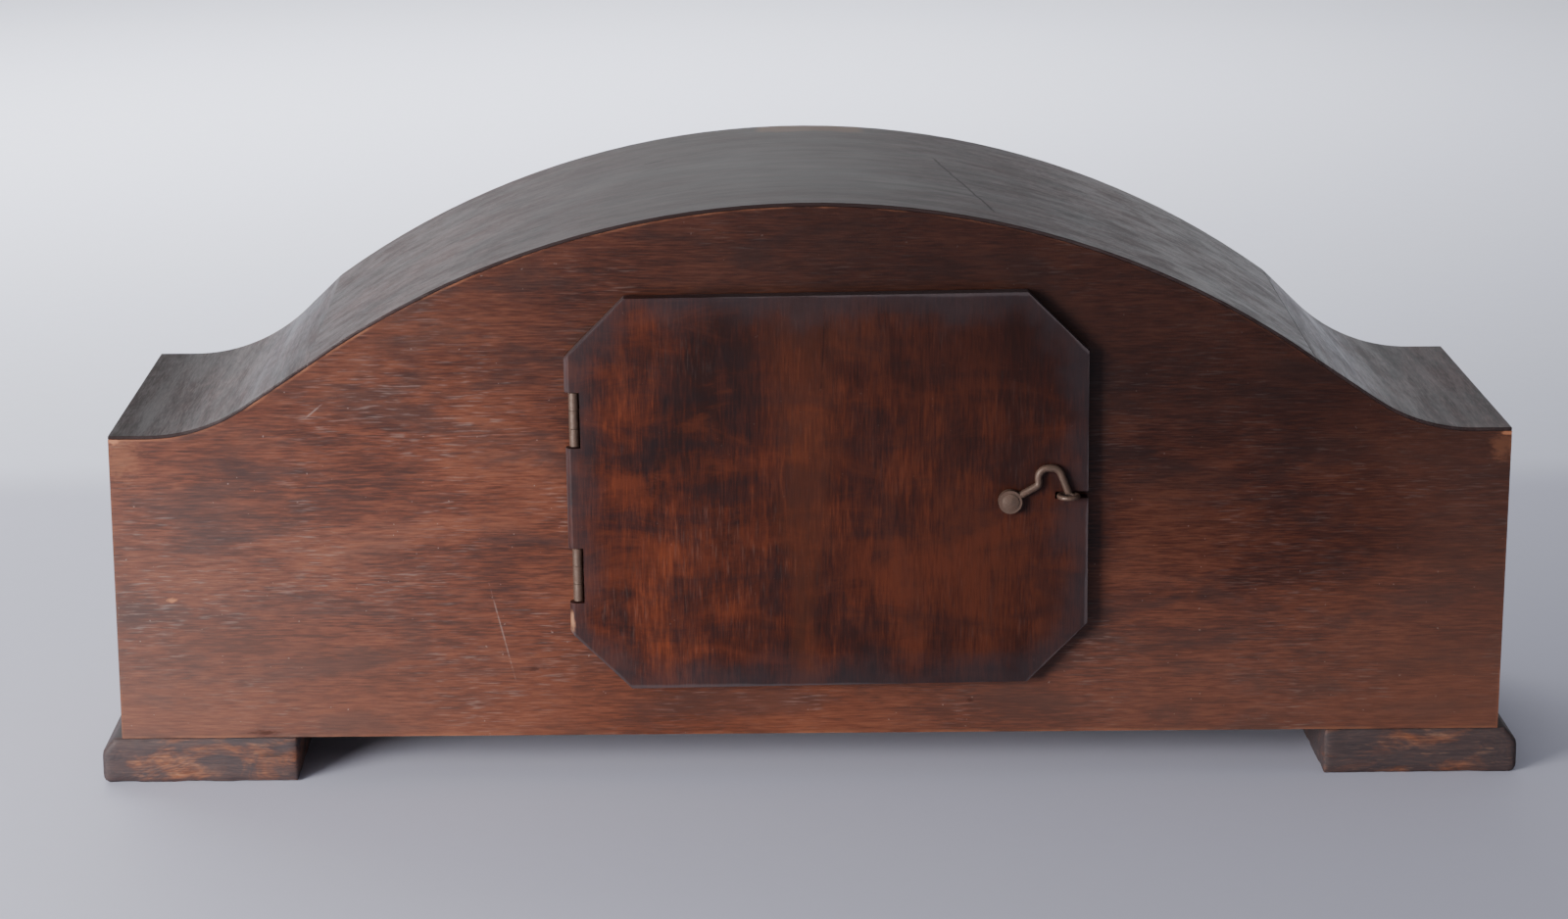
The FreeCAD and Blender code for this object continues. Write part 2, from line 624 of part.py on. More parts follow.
back_panel = back_panel.cut(slab(octagon(DOOR_OFFSET_X, DOOR_Z, OPENING_WIDTH, OPENING_HEIGHT,
                                         OPENING_CORNER), INNER_BACK_Y, BACK_Y))
back_panel = back_panel.cut(tilted(rod(EYE_X, EYE_Z, BACK_Y - EYE_SHANK_BITE - FIT, BACK_Y,
                                       EYE_WIRE_RADIUS + FIT)))
door = door_blank()
slot_half = EYE_WIRE_RADIUS + EYE_SLOT_CLEARANCE
door = door.cut(box(LATCH_EDGE_X, EYE_X + EYE_RADIUS + slot_half, DOOR_IN_Y, DOOR_OUT_Y,
                    EYE_Z - slot_half, EYE_Z + slot_half))
door = door.cut(rod(PIVOT_X, PIVOT_Z, DOOR_OUT_Y - PIVOT_SCREW_BITE, DOOR_OUT_Y,
                    PIVOT_SCREW_RADIUS + FIT))

frame_leaves, door_leaves, pins, frame_screws, door_screws = [], [], [], [], []
screw_x = HINGE_X - HINGE_LEAF_WIDTH + HINGE_SCREW_INSET
for level in HINGE_LEVELS:
    low, high = level - HINGE_LENGTH / 2, level + HINGE_LENGTH / 2
    notch = HINGE_NOTCH_CLEARANCE
    door = door.cut(box(HINGE_X - HINGE_NOTCH_INSET, HINGE_X + DOOR_THICKNESS, DOOR_IN_Y, DOOR_OUT_Y,
                        low - notch, high + notch))
    frame, leaf = frame_leaf(level), door_leaf(level)
    door = door.cut(box(HINGE_X - HINGE_LEAF_WIDTH, HINGE_X, DOOR_IN_Y, DOOR_IN_Y + HINGE_LEAF_THICKNESS,
                        low, high))
    back_panel = back_panel.cut(tilted(box(HINGE_X - HINGE_LEAF_WIDTH, HINGE_X + HINGE_WEB_HALF,
                                           BACK_Y - HINGE_LEAF_THICKNESS, BACK_Y, low, high)))
    for z in (level - HINGE_SCREW_SPREAD, level + HINGE_SCREW_SPREAD):
        inward = countersunk(screw_x, z, BACK_Y, -HINGE_SCREW_LENGTH, FIT)
        outward = countersunk(screw_x, z, DOOR_IN_Y, HINGE_SCREW_LENGTH, FIT)
        frame, back_panel = frame.cut(inward), back_panel.cut(tilted(inward))
        leaf, door = leaf.cut(outward), door.cut(outward)
        frame_screws.append(tilted(countersunk(screw_x, z, BACK_Y, -HINGE_SCREW_LENGTH)))
        door_screws.append(tilted(countersunk(screw_x, z, DOOR_IN_Y, HINGE_SCREW_LENGTH)))
    frame_leaves.append(tilted(frame))
    door_leaves.append(tilted(leaf))
    pins.append(tilted(upright(HINGE_X, HINGE_Y, low, high, HINGE_PIN_RADIUS)))

parts["back_panel"] = back_panel
parts["back_door"] = tilted(door)
parts["hinge_frame_leaves"] = Part.makeCompound(frame_leaves)
parts["hinge_door_leaves"] = Part.makeCompound(door_leaves)
parts["hinge_pins"] = Part.makeCompound(pins)
parts["hinge_frame_screws"] = Part.makeCompound(frame_screws)
parts["hinge_door_screws"] = Part.makeCompound(door_screws)
parts["latch_hook"] = tilted(latch_hook())
parts["latch_pivot_screw"] = tilted(pivot_screw())
parts["latch_eye"] = tilted(latch_eye())

# Dial side. A depth is measured forwards from the front panel's face.


def ahead(depth):
    """Y at a depth in front of the front panel."""
    return FRONT_Y - depth


BEZEL_HINGE_X = -(BEZEL_OUTER_RADIUS + BEZEL_HINGE_OFFSET)
BEZEL_HINGE_DEPTH = BEZEL_BACK
BARREL_Z = DIAL_Z - BARREL_DROP
KNUCKLE_HALF = BEZEL_KNUCKLE_LENGTH / 2


def dial_plate():
    """A flat disc with a hole for the hands and one for the winding square."""
    plate = rod(0, DIAL_Z, ahead(DIAL_THICKNESS), FRONT_Y, DIAL_RADIUS)
    plate = plate.cut(rod(0, DIAL_Z, ahead(DIAL_THICKNESS), FRONT_Y, DIAL_CENTRE_HOLE_RADIUS))
    return plate.cut(rod(0, BARREL_Z, ahead(DIAL_THICKNESS), FRONT_Y, WINDING_HOLE_RADIUS))


def bezel_knuckle(z0, z1, web_depth0, web_depth1, bore):
    """One hinge knuckle of the bezel, with a web to the ring beside it."""
    axis_y = ahead(BEZEL_HINGE_DEPTH)
    web_x = -BEZEL_OUTER_RADIUS + BEZEL_WEB_LAP
    web = box(BEZEL_HINGE_X, web_x, ahead(web_depth1), ahead(web_depth0), z0, z1)
    barrel = upright(BEZEL_HINGE_X, axis_y, z0, z1, BEZEL_KNUCKLE_RADIUS)
    hole = upright(BEZEL_HINGE_X, axis_y, z0, z1, bore)
    return fuse(barrel, web).cut(hole)


def dial_ring():
    """The fixed ring that frames the dial, laps its edge and carries the bezel's hinge."""
    inner, outer = DIAL_RADIUS + DIAL_RING_FIT, BEZEL_OUTER_RADIUS
    lap = DIAL_THICKNESS + FIT
    lip = DIAL_RADIUS - DIAL_RING_LIP
    section = [(inner, ahead(0)), (outer, ahead(0)), (outer, ahead(DIAL_RING_THICKNESS)),
               (lip, ahead(DIAL_RING_THICKNESS)), (lip, ahead(lap)), (inner, ahead(lap)), (inner, ahead(0))]
    ring = turned(run(section), 0, DIAL_Z)
    pieces = []
    for side in (-1, 1):
        ends = sorted((side * (KNUCKLE_HALF + HINGE_KNUCKLE_GAP), side * 3 * KNUCKLE_HALF))
        pieces.append(bezel_knuckle(DIAL_Z + ends[0], DIAL_Z + ends[1], BEZEL_GAP, DIAL_RING_THICKNESS,
                                    BEZEL_PIN_RADIUS + FIT))
    return fuse(ring, *pieces)


def bezel_ring():
    """The spun brass bezel, with a lip that the glass seats behind and one hinge knuckle."""
    back, front = ahead(BEZEL_BACK), ahead(BEZEL_BACK + BEZEL_HEIGHT)
    outer, inner, seat = BEZEL_OUTER_RADIUS, BEZEL_INNER_RADIUS, BEZEL_INNER_RADIUS + GLASS_SEAT
    side, crown = ahead(BEZEL_BACK + BEZEL_SIDE), outer - BEZEL_CROWN
    swell = math.sqrt(0.5)
    middle = (crown + BEZEL_CROWN * swell, side + (front - side) * swell)
    lip_front = ahead(GLASS_FRONT + BEZEL_LIP_HEIGHT)
    lip_back = ahead(GLASS_FRONT)
    section = run([(seat, back), (outer, back), (outer, side)])
    section.append(bow((outer, side), middle, (crown, front)))
    section += run([(crown, front), (inner, lip_front), (inner, lip_back), (seat, lip_back), (seat, back)])
    knuckle = bezel_knuckle(DIAL_Z - KNUCKLE_HALF, DIAL_Z + KNUCKLE_HALF, BEZEL_BACK,
                            BEZEL_BACK + BEZEL_SIDE, BEZEL_PIN_RADIUS + PIVOT_SHAKE)
    return fuse(turned(section, 0, DIAL_Z), knuckle)


def bezel_glass():
    """A domed glass with a flat rim behind the bezel's lip."""
    rim = BEZEL_INNER_RADIUS + GLASS_SEAT - GLASS_FIT
    dome = rim - GLASS_FLANGE
    front, back = ahead(GLASS_FRONT), ahead(GLASS_FRONT - GLASS_THICKNESS)
    section = run([(dome, back), (rim, back), (rim, front), (dome, front)])
    section.append(cap(dome, front, -GLASS_RISE))
    section += run([(0, front - GLASS_RISE), (0, back - GLASS_RISE)])
    section.append(cap(dome, back, -GLASS_RISE))
    return turned(section, 0, DIAL_Z)


def bezel_knob():
    """A small turned finger knob on the bezel's free side."""
    x0, y = BEZEL_OUTER_RADIUS, ahead(BEZEL_BACK + BEZEL_SIDE - KNOB_RADIUS / 2)
    along_x = Vector(1, 0, 0)
    stem = Part.makeCylinder(KNOB_STEM_RADIUS, KNOB_LENGTH - KNOB_RADIUS, Vector(x0, y, DIAL_Z), along_x)
    return fuse(stem, Part.makeSphere(KNOB_RADIUS, Vector(x0 + KNOB_LENGTH - KNOB_RADIUS, y, DIAL_Z)))


def hand(length, lift, bore, spade):
    """A spade hand pointing up, with a round boss on its pipe."""
    y1 = ahead(DIAL_THICKNESS + lift)
    y0 = y1 - HAND_THICKNESS
    half = HAND_WIDTH / 2
    neck = DIAL_Z + length - 3 * spade
    blade = slab([(-half, DIAL_Z), (half, DIAL_Z), (half / 2, neck), (-half / 2, neck)], y0, y1)
    point = slab([(-spade, neck + spade), (0, neck - spade), (spade, neck + spade), (0, DIAL_Z + length)],
                 y0, y1)
    boss = rod(0, DIAL_Z, y0, y1, HAND_BOSS_RADIUS)
    return fuse(boss, blade, point).cut(rod(0, DIAL_Z, y0, y1, bore + FIT))


front_panel = front_panel.cut(rod(0, DIAL_Z, FRONT_Y, INNER_FRONT_Y, APERTURE_RADIUS))
front_panel = front_panel.cut(rod(0, BARREL_Z, FRONT_Y, INNER_FRONT_Y, WINDING_HOLE_RADIUS))
parts["dial_plate"] = dial_plate()
parts["dial_ring"] = dial_ring()
parts["bezel_ring"] = bezel_ring()
parts["bezel_glass"] = bezel_glass()
parts["bezel_knob"] = bezel_knob()
parts["bezel_hinge_pin"] = upright(BEZEL_HINGE_X, ahead(BEZEL_HINGE_DEPTH), DIAL_Z - 3 * KNUCKLE_HALF,
                                   DIAL_Z + 3 * KNUCKLE_HALF, BEZEL_PIN_RADIUS)
parts["hour_hand"] = hand(HOUR_HAND_LENGTH, HOUR_HAND_LIFT, HOUR_PIPE_RADIUS, HOUR_SPADE_RADIUS)
parts["minute_hand"] = hand(MINUTE_HAND_LENGTH, MINUTE_HAND_LIFT, CANNON_PIPE_RADIUS,
                            MINUTE_SPADE_RADIUS)

# Places in the movement, measured back from the inner face of the front plate
PLATE_FRONT_Y = INNER_FRONT_Y
MOVEMENT_Y = INNER_FRONT_Y + PLATE_THICKNESS
BACK_PLATE_Y = MOVEMENT_Y + PLATE_GAP
PLATE_BACK_Y = BACK_PLATE_Y + PLATE_THICKNESS


def place(distance):
    """Y at a distance behind the front plate."""
    return MOVEMENT_Y + distance


def centre_distance(module, teeth, leaves):
    """Distance between the axes of a wheel and its pinion."""
    return module * (teeth + leaves) / 2


def apex(first, reach_first, second, reach_second, side):
    """The axis at given distances from two others in x, z, on the side given by the sign."""
    dx, dz = second[0] - first[0], second[1] - first[1]
    gap = math.hypot(dx, dz)
    along = (reach_first ** 2 - reach_second ** 2 + gap ** 2) / (2 * gap)
    off = side * math.sqrt(reach_first ** 2 - along ** 2)
    return (first[0] + (along * dx - off * dz) / gap, first[1] + (along * dz + off * dx) / gap)


def bearing(start, end):
    """Direction from one axis to another in the x, z plane."""
    return math.atan2(end[1] - start[1], end[0] - start[0])


CENTRE = (0.0, DIAL_Z)
BARREL = (0.0, BARREL_Z)
ESCAPE = (0.0, DIAL_Z + ESCAPE_RISE)
SECOND = apex(CENTRE, centre_distance(SECOND_MODULE, SECOND_TEETH, CENTRE_PINION_LEAVES),
              BARREL, centre_distance(BARREL_MODULE, BARREL_TEETH, SECOND_PINION_LEAVES), -1)
THIRD = apex(CENTRE, centre_distance(CENTRE_MODULE, CENTRE_TEETH, THIRD_PINION_LEAVES),
             ESCAPE, centre_distance(THIRD_MODULE, THIRD_TEETH, ESCAPE_PINION_LEAVES), -1)
PALLET_BEARING = math.pi * PALLET_SPAN / ESCAPE_TEETH
PALLET = (0.0, ESCAPE[1] + ESCAPE_RADIUS / math.cos(PALLET_BEARING))
MOTION_REACH = centre_distance(MOTION_MODULE, MINUTE_WHEEL_TEETH, CANNON_LEAVES)
STUD_ANGLE = math.radians(MINUTE_STUD_BEARING)
STUD = (MOTION_REACH * math.cos(STUD_ANGLE), DIAL_Z + MOTION_REACH * math.sin(STUD_ANGLE))

# Tooth form in modules and in shares of the pitch: slender leaves, pointed wheel teeth
WHEEL_ADDENDUM = 1.25
WHEEL_DEDENDUM = 1.5
WHEEL_ROOT_SHARE = 0.56
WHEEL_TIP_SHARE = 0.12
LEAF_ADDENDUM = 0.75
LEAF_DEDENDUM = 1.75
LEAF_ROOT_SHARE = 0.34
LEAF_TIP_SHARE = 0.24
LEAF_CORE_SHARE = 0.45


def toothed(axis, y0, y1, teeth, radii, shares, phase):
    """A toothed disc with straight flanks: root and tip radii, and tooth widths as shares of the pitch."""
    pitch = 2 * math.pi / teeth
    points = []
    for tooth in range(teeth):
        middle = phase + tooth * pitch
        for radius, offset in ((radii[0], -shares[0]), (radii[1], -shares[1]),
                               (radii[1], shares[1]), (radii[0], shares[0])):
            angle = middle + offset * pitch / 2
            points.append((axis[0] + radius * math.cos(angle), axis[1] + radius * math.sin(angle)))
    return slab(points, y0, y1)


def wheel_blank(axis, y0, y1, teeth, module, phase):
    """A brass wheel's toothed disc, with a tooth at the phase angle."""
    pitch_radius = module * teeth / 2
    radii = (pitch_radius - WHEEL_DEDENDUM * module, pitch_radius + WHEEL_ADDENDUM * module)
    return toothed(axis, y0, y1, teeth, radii, (WHEEL_ROOT_SHARE, WHEEL_TIP_SHARE), phase)


def pinion(axis, y0, y1, leaves, module, phase):
    """A steel pinion with a gap between leaves at the phase angle."""
    pitch_radius = module * leaves / 2
    radii = (max(pitch_radius - LEAF_DEDENDUM * module, pitch_radius * LEAF_CORE_SHARE),
             pitch_radius + LEAF_ADDENDUM * module)
    return toothed(axis, y0, y1, leaves, radii, (LEAF_ROOT_SHARE, LEAF_TIP_SHARE),
                   phase + math.pi / leaves)


def crossed_out(wheel, axis, y0, y1, rim_radius, bore):
    """The wheel with openings between its spokes and a bore for its arbor."""
    ring = tube(axis[0], axis[1], y0, y1, rim_radius, WHEEL_HUB_RADIUS)
    half = WHEEL_SPOKE_WIDTH / 2
    for spoke in range(WHEEL_SPOKES):
        arm = box(axis[0], axis[0] + rim_radius, y0, y1, axis[1] - half, axis[1] + half)
        ring = ring.cut(arm.rotated(Vector(axis[0], 0, axis[1]), ALONG_Y, 360 * spoke / WHEEL_SPOKES))
    return wheel.cut(ring).cut(rod(axis[0], axis[1], y0, y1, bore + FIT))


def train_wheel(axis, distance, teeth, module, driven, bore):
    """A crossed-out wheel of the train, with a tooth on the line to the axis that it drives."""
    y0, y1 = place(distance), place(distance + WHEEL_THICKNESS)
    blank = wheel_blank(axis, y0, y1, teeth, module, bearing(axis, driven))
    rim_radius = module * (teeth / 2 - WHEEL_DEDENDUM) - WHEEL_RIM
    return crossed_out(blank, axis, y0, y1, rim_radius, bore)


def train_arbor(axis, driver, wheel_distance, leaves, module, y0, y1, radius):
    """An arbor turned in steps about its pinion, which meshes with a wheel at wheel_distance."""
    leaf0 = place(wheel_distance - PINION_OVERHANG)
    leaf1 = place(wheel_distance + WHEEL_THICKNESS + PINION_OVERHANG)
    pieces = [pinion(axis, leaf0, leaf1, leaves, module, bearing(axis, driver))]
    for start, end in ((y0, leaf0), (leaf1, y1)):
        if end - start > FIT:
            pieces.append(rod(axis[0], axis[1], start, end, radius))
    return fuse(*pieces)


def with_pivots(arbor, axis):
    """The arbor with a pivot at each end, through both plates."""
    front, back = place(END_SHAKE / 2), place(PLATE_GAP - END_SHAKE / 2)
    return fuse(arbor, rod(axis[0], axis[1], PLATE_FRONT_Y, front, PIVOT_RADIUS),
                rod(axis[0], axis[1], back, PLATE_BACK_Y, PIVOT_RADIUS))

# Motion work: the cannon pinion drives the minute wheel, whose pinion drives the hour wheel
MINUTE_WHEEL_Y = PLATE_FRONT_Y - MOTION_GAP - MOTION_WHEEL_THICKNESS
HOUR_WHEEL_Y = MINUTE_WHEEL_Y - MOTION_GAP - MOTION_WHEEL_THICKNESS
LEAF_LAP = MOTION_GAP / 2
HOUR_HAND_FRONT_Y = ahead(DIAL_THICKNESS + HOUR_HAND_LIFT + HAND_THICKNESS)
MINUTE_HAND_FRONT_Y = ahead(DIAL_THICKNESS + MINUTE_HAND_LIFT + HAND_THICKNESS)
HAND_NUT_FRONT_Y = MINUTE_HAND_FRONT_Y - HAND_NUT_HEIGHT


def cannon_pinion():
    """The pinion and pipe that carry the minute hand on the centre arbor."""
    leaf0 = MINUTE_WHEEL_Y - LEAF_LAP
    leaf1 = MINUTE_WHEEL_Y + MOTION_WHEEL_THICKNESS + LEAF_LAP
    leaves = pinion(CENTRE, leaf0, leaf1, CANNON_LEAVES, MOTION_MODULE, bearing(CENTRE, STUD))
    pipe = rod(*CENTRE, MINUTE_HAND_FRONT_Y, leaf0, CANNON_PIPE_RADIUS)
    bore = rod(*CENTRE, MINUTE_HAND_FRONT_Y, leaf1, CENTRE_TIP_RADIUS + FIT)
    return fuse(leaves, pipe).cut(bore)


def minute_wheel():
    """The wheel and pinion that turn together on the stud."""
    y1 = MINUTE_WHEEL_Y + MOTION_WHEEL_THICKNESS
    way = bearing(STUD, CENTRE)
    wheel = wheel_blank(STUD, MINUTE_WHEEL_Y, y1, MINUTE_WHEEL_TEETH, MOTION_MODULE, way)
    front = HOUR_WHEEL_Y - LEAF_LAP
    leaves = pinion(STUD, front, MINUTE_WHEEL_Y, MINUTE_PINION_LEAVES, MOTION_MODULE, way)
    return fuse(wheel, leaves).cut(rod(*STUD, front, y1, MINUTE_STUD_RADIUS + PIVOT_SHAKE))


def hour_wheel():
    """The wheel and pipe that carry the hour hand round the cannon pipe."""
    y1 = HOUR_WHEEL_Y + MOTION_WHEEL_THICKNESS
    way = bearing(CENTRE, STUD)
    wheel = wheel_blank(CENTRE, HOUR_WHEEL_Y, y1, HOUR_WHEEL_TEETH, MOTION_MODULE, way)
    pipe = rod(*CENTRE, HOUR_HAND_FRONT_Y, HOUR_WHEEL_Y, HOUR_PIPE_RADIUS)
    return fuse(wheel, pipe).cut(rod(*CENTRE, HOUR_HAND_FRONT_Y, y1, CANNON_PIPE_RADIUS + PIVOT_SHAKE))


def hexagon(x, z, radius):
    """Corner points of a six-sided nut."""
    corners = [k * math.pi / 3 for k in range(6)]
    return [(x + radius * math.cos(corner), z + radius * math.sin(corner)) for corner in corners]


parts["cannon_pinion"] = cannon_pinion()
parts["minute_wheel"] = minute_wheel()
parts["hour_wheel"] = hour_wheel()
parts["hand_nut"] = slab(hexagon(*CENTRE, HAND_NUT_RADIUS), HAND_NUT_FRONT_Y, MINUTE_HAND_FRONT_Y).cut(
    rod(*CENTRE, HAND_NUT_FRONT_Y, MINUTE_HAND_FRONT_Y, CENTRE_TIP_RADIUS + FIT))

# Plates, pillars and their fastenings
PLATE_LOW_Z = BARREL[1] - PLATE_MARGIN_BOTTOM
PLATE_HIGH_Z = PALLET[1] + PLATE_MARGIN_TOP
PILLAR_X = PLATE_HALF_WIDTH - PILLAR_INSET
PILLARS = [(side * PILLAR_X, z) for side in (-1, 1)
           for z in (PLATE_LOW_Z + PILLAR_INSET, PLATE_HIGH_Z - PILLAR_INSET)]
MOVEMENT_SCREW_X = PLATE_HALF_WIDTH - MOVEMENT_SCREW_INSET_X
MOVEMENT_SCREWS = [(side * MOVEMENT_SCREW_X, z) for side in (-1, 1)
                   for z in (PLATE_LOW_Z + MOVEMENT_SCREW_INSET_Z, PLATE_HIGH_Z - MOVEMENT_SCREW_INSET_Z)]


def drilled(shape, axes, y0, y1, radius):
    """The shape with a hole along Y at each axis."""
    for x, z in axes:
        shape = shape.cut(rod(x, z, y0, y1, radius))
    return shape


def plate(y0):
    """A movement plate with holes for the pillars, the winding arbor and the train's pivots."""
    y1 = y0 + PLATE_THICKNESS
    middle_z = (PLATE_LOW_Z + PLATE_HIGH_Z) / 2
    outline = octagon(0, middle_z, 2 * PLATE_HALF_WIDTH, PLATE_HIGH_Z - PLATE_LOW_Z, PLATE_CORNER)
    shape = drilled(slab(outline, y0, y1), PILLARS, y0, y1, PILLAR_PIVOT_RADIUS + FIT)
    shape = drilled(shape, [BARREL], y0, y1, WINDING_ARBOR_RADIUS + PIVOT_SHAKE)
    return drilled(shape, [SECOND, THIRD, ESCAPE, PALLET], y0, y1, PIVOT_RADIUS + PIVOT_SHAKE)


def movement_screw(x, z):
    """A round-headed wood screw through the front plate into the front panel."""
    head = rod(x, z, MOVEMENT_Y, MOVEMENT_Y + MOVEMENT_SCREW_HEAD_HEIGHT, MOVEMENT_SCREW_HEAD_RADIUS)
    return fuse(head, rod(x, z, PLATE_FRONT_Y - MOVEMENT_SCREW_BITE, MOVEMENT_Y, MOVEMENT_SCREW_RADIUS))


front_plate = drilled(plate(PLATE_FRONT_Y), [CENTRE], PLATE_FRONT_Y, MOVEMENT_Y,
                      CENTRE_TIP_RADIUS + PIVOT_SHAKE)
front_plate = drilled(front_plate, MOVEMENT_SCREWS, PLATE_FRONT_Y, MOVEMENT_Y,
                      MOVEMENT_SCREW_RADIUS + FIT)
stud = rod(*STUD, HOUR_WHEEL_Y - MOTION_GAP, MOVEMENT_Y, MINUTE_STUD_RADIUS)
parts["front_plate"] = fuse(front_plate, stud)
parts["front_panel"] = drilled(front_panel, MOVEMENT_SCREWS, PLATE_FRONT_Y - MOVEMENT_SCREW_BITE - FIT,
                               PLATE_FRONT_Y, MOVEMENT_SCREW_RADIUS + FIT)
back_plate = drilled(plate(BACK_PLATE_Y), [CENTRE], BACK_PLATE_Y, PLATE_BACK_Y,
                     PIVOT_RADIUS + PIVOT_SHAKE)
parts["movement_screws"] = Part.makeCompound([movement_screw(x, z) for x, z in MOVEMENT_SCREWS])
parts["pillars"] = Part.makeCompound([
    fuse(rod(x, z, MOVEMENT_Y, BACK_PLATE_Y, PILLAR_RADIUS),
         rod(x, z, PLATE_FRONT_Y, PLATE_BACK_Y + PILLAR_NUT_HEIGHT, PILLAR_PIVOT_RADIUS))
    for x, z in PILLARS])
parts["pillar_nuts"] = Part.makeCompound([
    slab(hexagon(x, z, PILLAR_NUT_RADIUS), PLATE_BACK_Y, PLATE_BACK_Y + PILLAR_NUT_HEIGHT).cut(
        rod(x, z, PLATE_BACK_Y, PLATE_BACK_Y + PILLAR_NUT_HEIGHT, PILLAR_PIVOT_RADIUS + FIT))
    for x, z in PILLARS])

# Going train between the plates
ARBOR_FRONT_Y = place(END_SHAKE / 2)
ARBOR_BACK_Y = place(PLATE_GAP - END_SHAKE / 2)


def plain_arbor(axis, driver, wheel_distance, leaves, module):
    """An arbor of the train with its pinion and both pivots."""
    arbor = train_arbor(axis, driver, wheel_distance, leaves, module, ARBOR_FRONT_Y, ARBOR_BACK_Y,
                        ARBOR_RADIUS)
    return with_pivots(arbor, axis)


parts["second_arbor"] = plain_arbor(SECOND, BARREL, GREAT_WHEEL_PLACE, SECOND_PINION_LEAVES, BARREL_MODULE)
parts["second_wheel"] = train_wheel(SECOND, SECOND_WHEEL_PLACE, SECOND_TEETH, SECOND_MODULE, CENTRE,
                                    ARBOR_RADIUS)
centre_body = train_arbor(CENTRE, SECOND, SECOND_WHEEL_PLACE, CENTRE_PINION_LEAVES, SECOND_MODULE,
                          ARBOR_FRONT_Y, ARBOR_BACK_Y, CENTRE_ARBOR_RADIUS)
parts["centre_arbor"] = fuse(centre_body, rod(*CENTRE, HAND_NUT_FRONT_Y, ARBOR_FRONT_Y, CENTRE_TIP_RADIUS),
                             rod(*CENTRE, ARBOR_BACK_Y, PLATE_BACK_Y, PIVOT_RADIUS))
parts["centre_wheel"] = train_wheel(CENTRE, CENTRE_WHEEL_PLACE, CENTRE_TEETH, CENTRE_MODULE, THIRD,
                                    CENTRE_ARBOR_RADIUS)
parts["third_arbor"] = plain_arbor(THIRD, CENTRE, CENTRE_WHEEL_PLACE, THIRD_PINION_LEAVES, CENTRE_MODULE)
parts["third_wheel"] = train_wheel(THIRD, THIRD_WHEEL_PLACE, THIRD_TEETH, THIRD_MODULE, ESCAPE, ARBOR_RADIUS)
parts["escape_arbor"] = plain_arbor(ESCAPE, THIRD, THIRD_WHEEL_PLACE, ESCAPE_PINION_LEAVES, THIRD_MODULE)


def escape_wheel():
    """A wheel of raked teeth, standing so that each pallet is a quarter pitch from a tooth."""
    y0, y1 = place(ESCAPE_WHEEL_PLACE), place(ESCAPE_WHEEL_PLACE) + ESCAPE_THICKNESS
    pitch = 2 * math.pi / ESCAPE_TEETH
    root = ESCAPE_RADIUS - ESCAPE_TOOTH_DEPTH
    rake = [(root, ESCAPE_HEEL_SHARE), (ESCAPE_RADIUS, ESCAPE_TIP_START_SHARE),
            (ESCAPE_RADIUS, ESCAPE_TIP_END_SHARE), (root, ESCAPE_FRONT_SHARE)]
    first = math.pi / 2 - PALLET_BEARING + pitch / 4
    points = []
    for tooth in range(ESCAPE_TEETH):
        for radius, share in rake:
            angle = first + (tooth + share) * pitch
            points.append((ESCAPE[0] + radius * math.cos(angle), ESCAPE[1] + radius * math.sin(angle)))
    return crossed_out(slab(points, y0, y1), ESCAPE, y0, y1, root - WHEEL_RIM, ARBOR_RADIUS)


parts["escape_wheel"] = escape_wheel()

# Barrel and winding work
DRUM_Y = place(GREAT_WHEEL_PLACE) + WHEEL_THICKNESS
DRUM_END_Y = DRUM_Y + BARREL_HEIGHT
DRUM_FLOOR_Y = DRUM_Y + BARREL_FLOOR
CAP_Y = DRUM_END_Y - BARREL_CAP_THICKNESS
DRUM_INNER = BARREL_RADIUS - BARREL_WALL
RATCHET_Y = PLATE_BACK_Y + RATCHET_STAND_OFF
RATCHET_END_Y = RATCHET_Y + RATCHET_THICKNESS


def mainspring_barrel():
    """The drum with the great wheel at its front."""
    wheel_y = place(GREAT_WHEEL_PLACE)
    wheel = wheel_blank(BARREL, wheel_y, DRUM_Y, BARREL_TEETH, BARREL_MODULE, bearing(BARREL, SECOND))
    drum = rod(*BARREL, DRUM_Y, DRUM_END_Y, BARREL_RADIUS)
    drum = drum.cut(rod(*BARREL, DRUM_FLOOR_Y, DRUM_END_Y, DRUM_INNER))
    return fuse(wheel, drum).cut(rod(*BARREL, wheel_y, DRUM_FLOOR_Y, WINDING_ARBOR_RADIUS + PIVOT_SHAKE))


def mainspring():
    """A steel ribbon in half circles whose centres alternate, so that it winds outwards steadily."""
    inner = WINDING_HUB_RADIUS + SPRING_CLEARANCE
    outer = DRUM_INNER - SPRING_CLEARANCE - SPRING_THICKNESS
    step = (outer - inner) / SPRING_TURNS
    middle = (DRUM_FLOOR_Y + CAP_Y) / 2
    y0 = middle - SPRING_WIDTH / 2

    def face(extra):
        arcs = []
        for half in range(2 * SPRING_TURNS):
            radius = inner + half * step / 2 + extra
            centre = BARREL[0] + (half % 2) * step / 2
            way = 1 if half % 2 == 0 else -1
            spots = ((centre + way * radius, BARREL[1]), (centre, BARREL[1] + way * radius),
                     (centre - way * radius, BARREL[1]))
            arcs.append(Part.Arc(*[Vector(x, y0, z) for x, z in spots]).toShape())
        return arcs

    inside, outside = face(0), face(SPRING_THICKNESS)
    start = Part.LineSegment(inside[0].valueAt(inside[0].FirstParameter),
                             outside[0].valueAt(outside[0].FirstParameter)).toShape()
    end = Part.LineSegment(inside[-1].valueAt(inside[-1].LastParameter),
                           outside[-1].valueAt(outside[-1].LastParameter)).toShape()
    print("mainspring gap between turns", round(step - SPRING_THICKNESS, 3))
    ribbon = Part.Face(Part.Wire(Part.__sortEdges__(inside + [end] + outside + [start])))
    return ribbon.extrude(Vector(0, SPRING_WIDTH, 0))


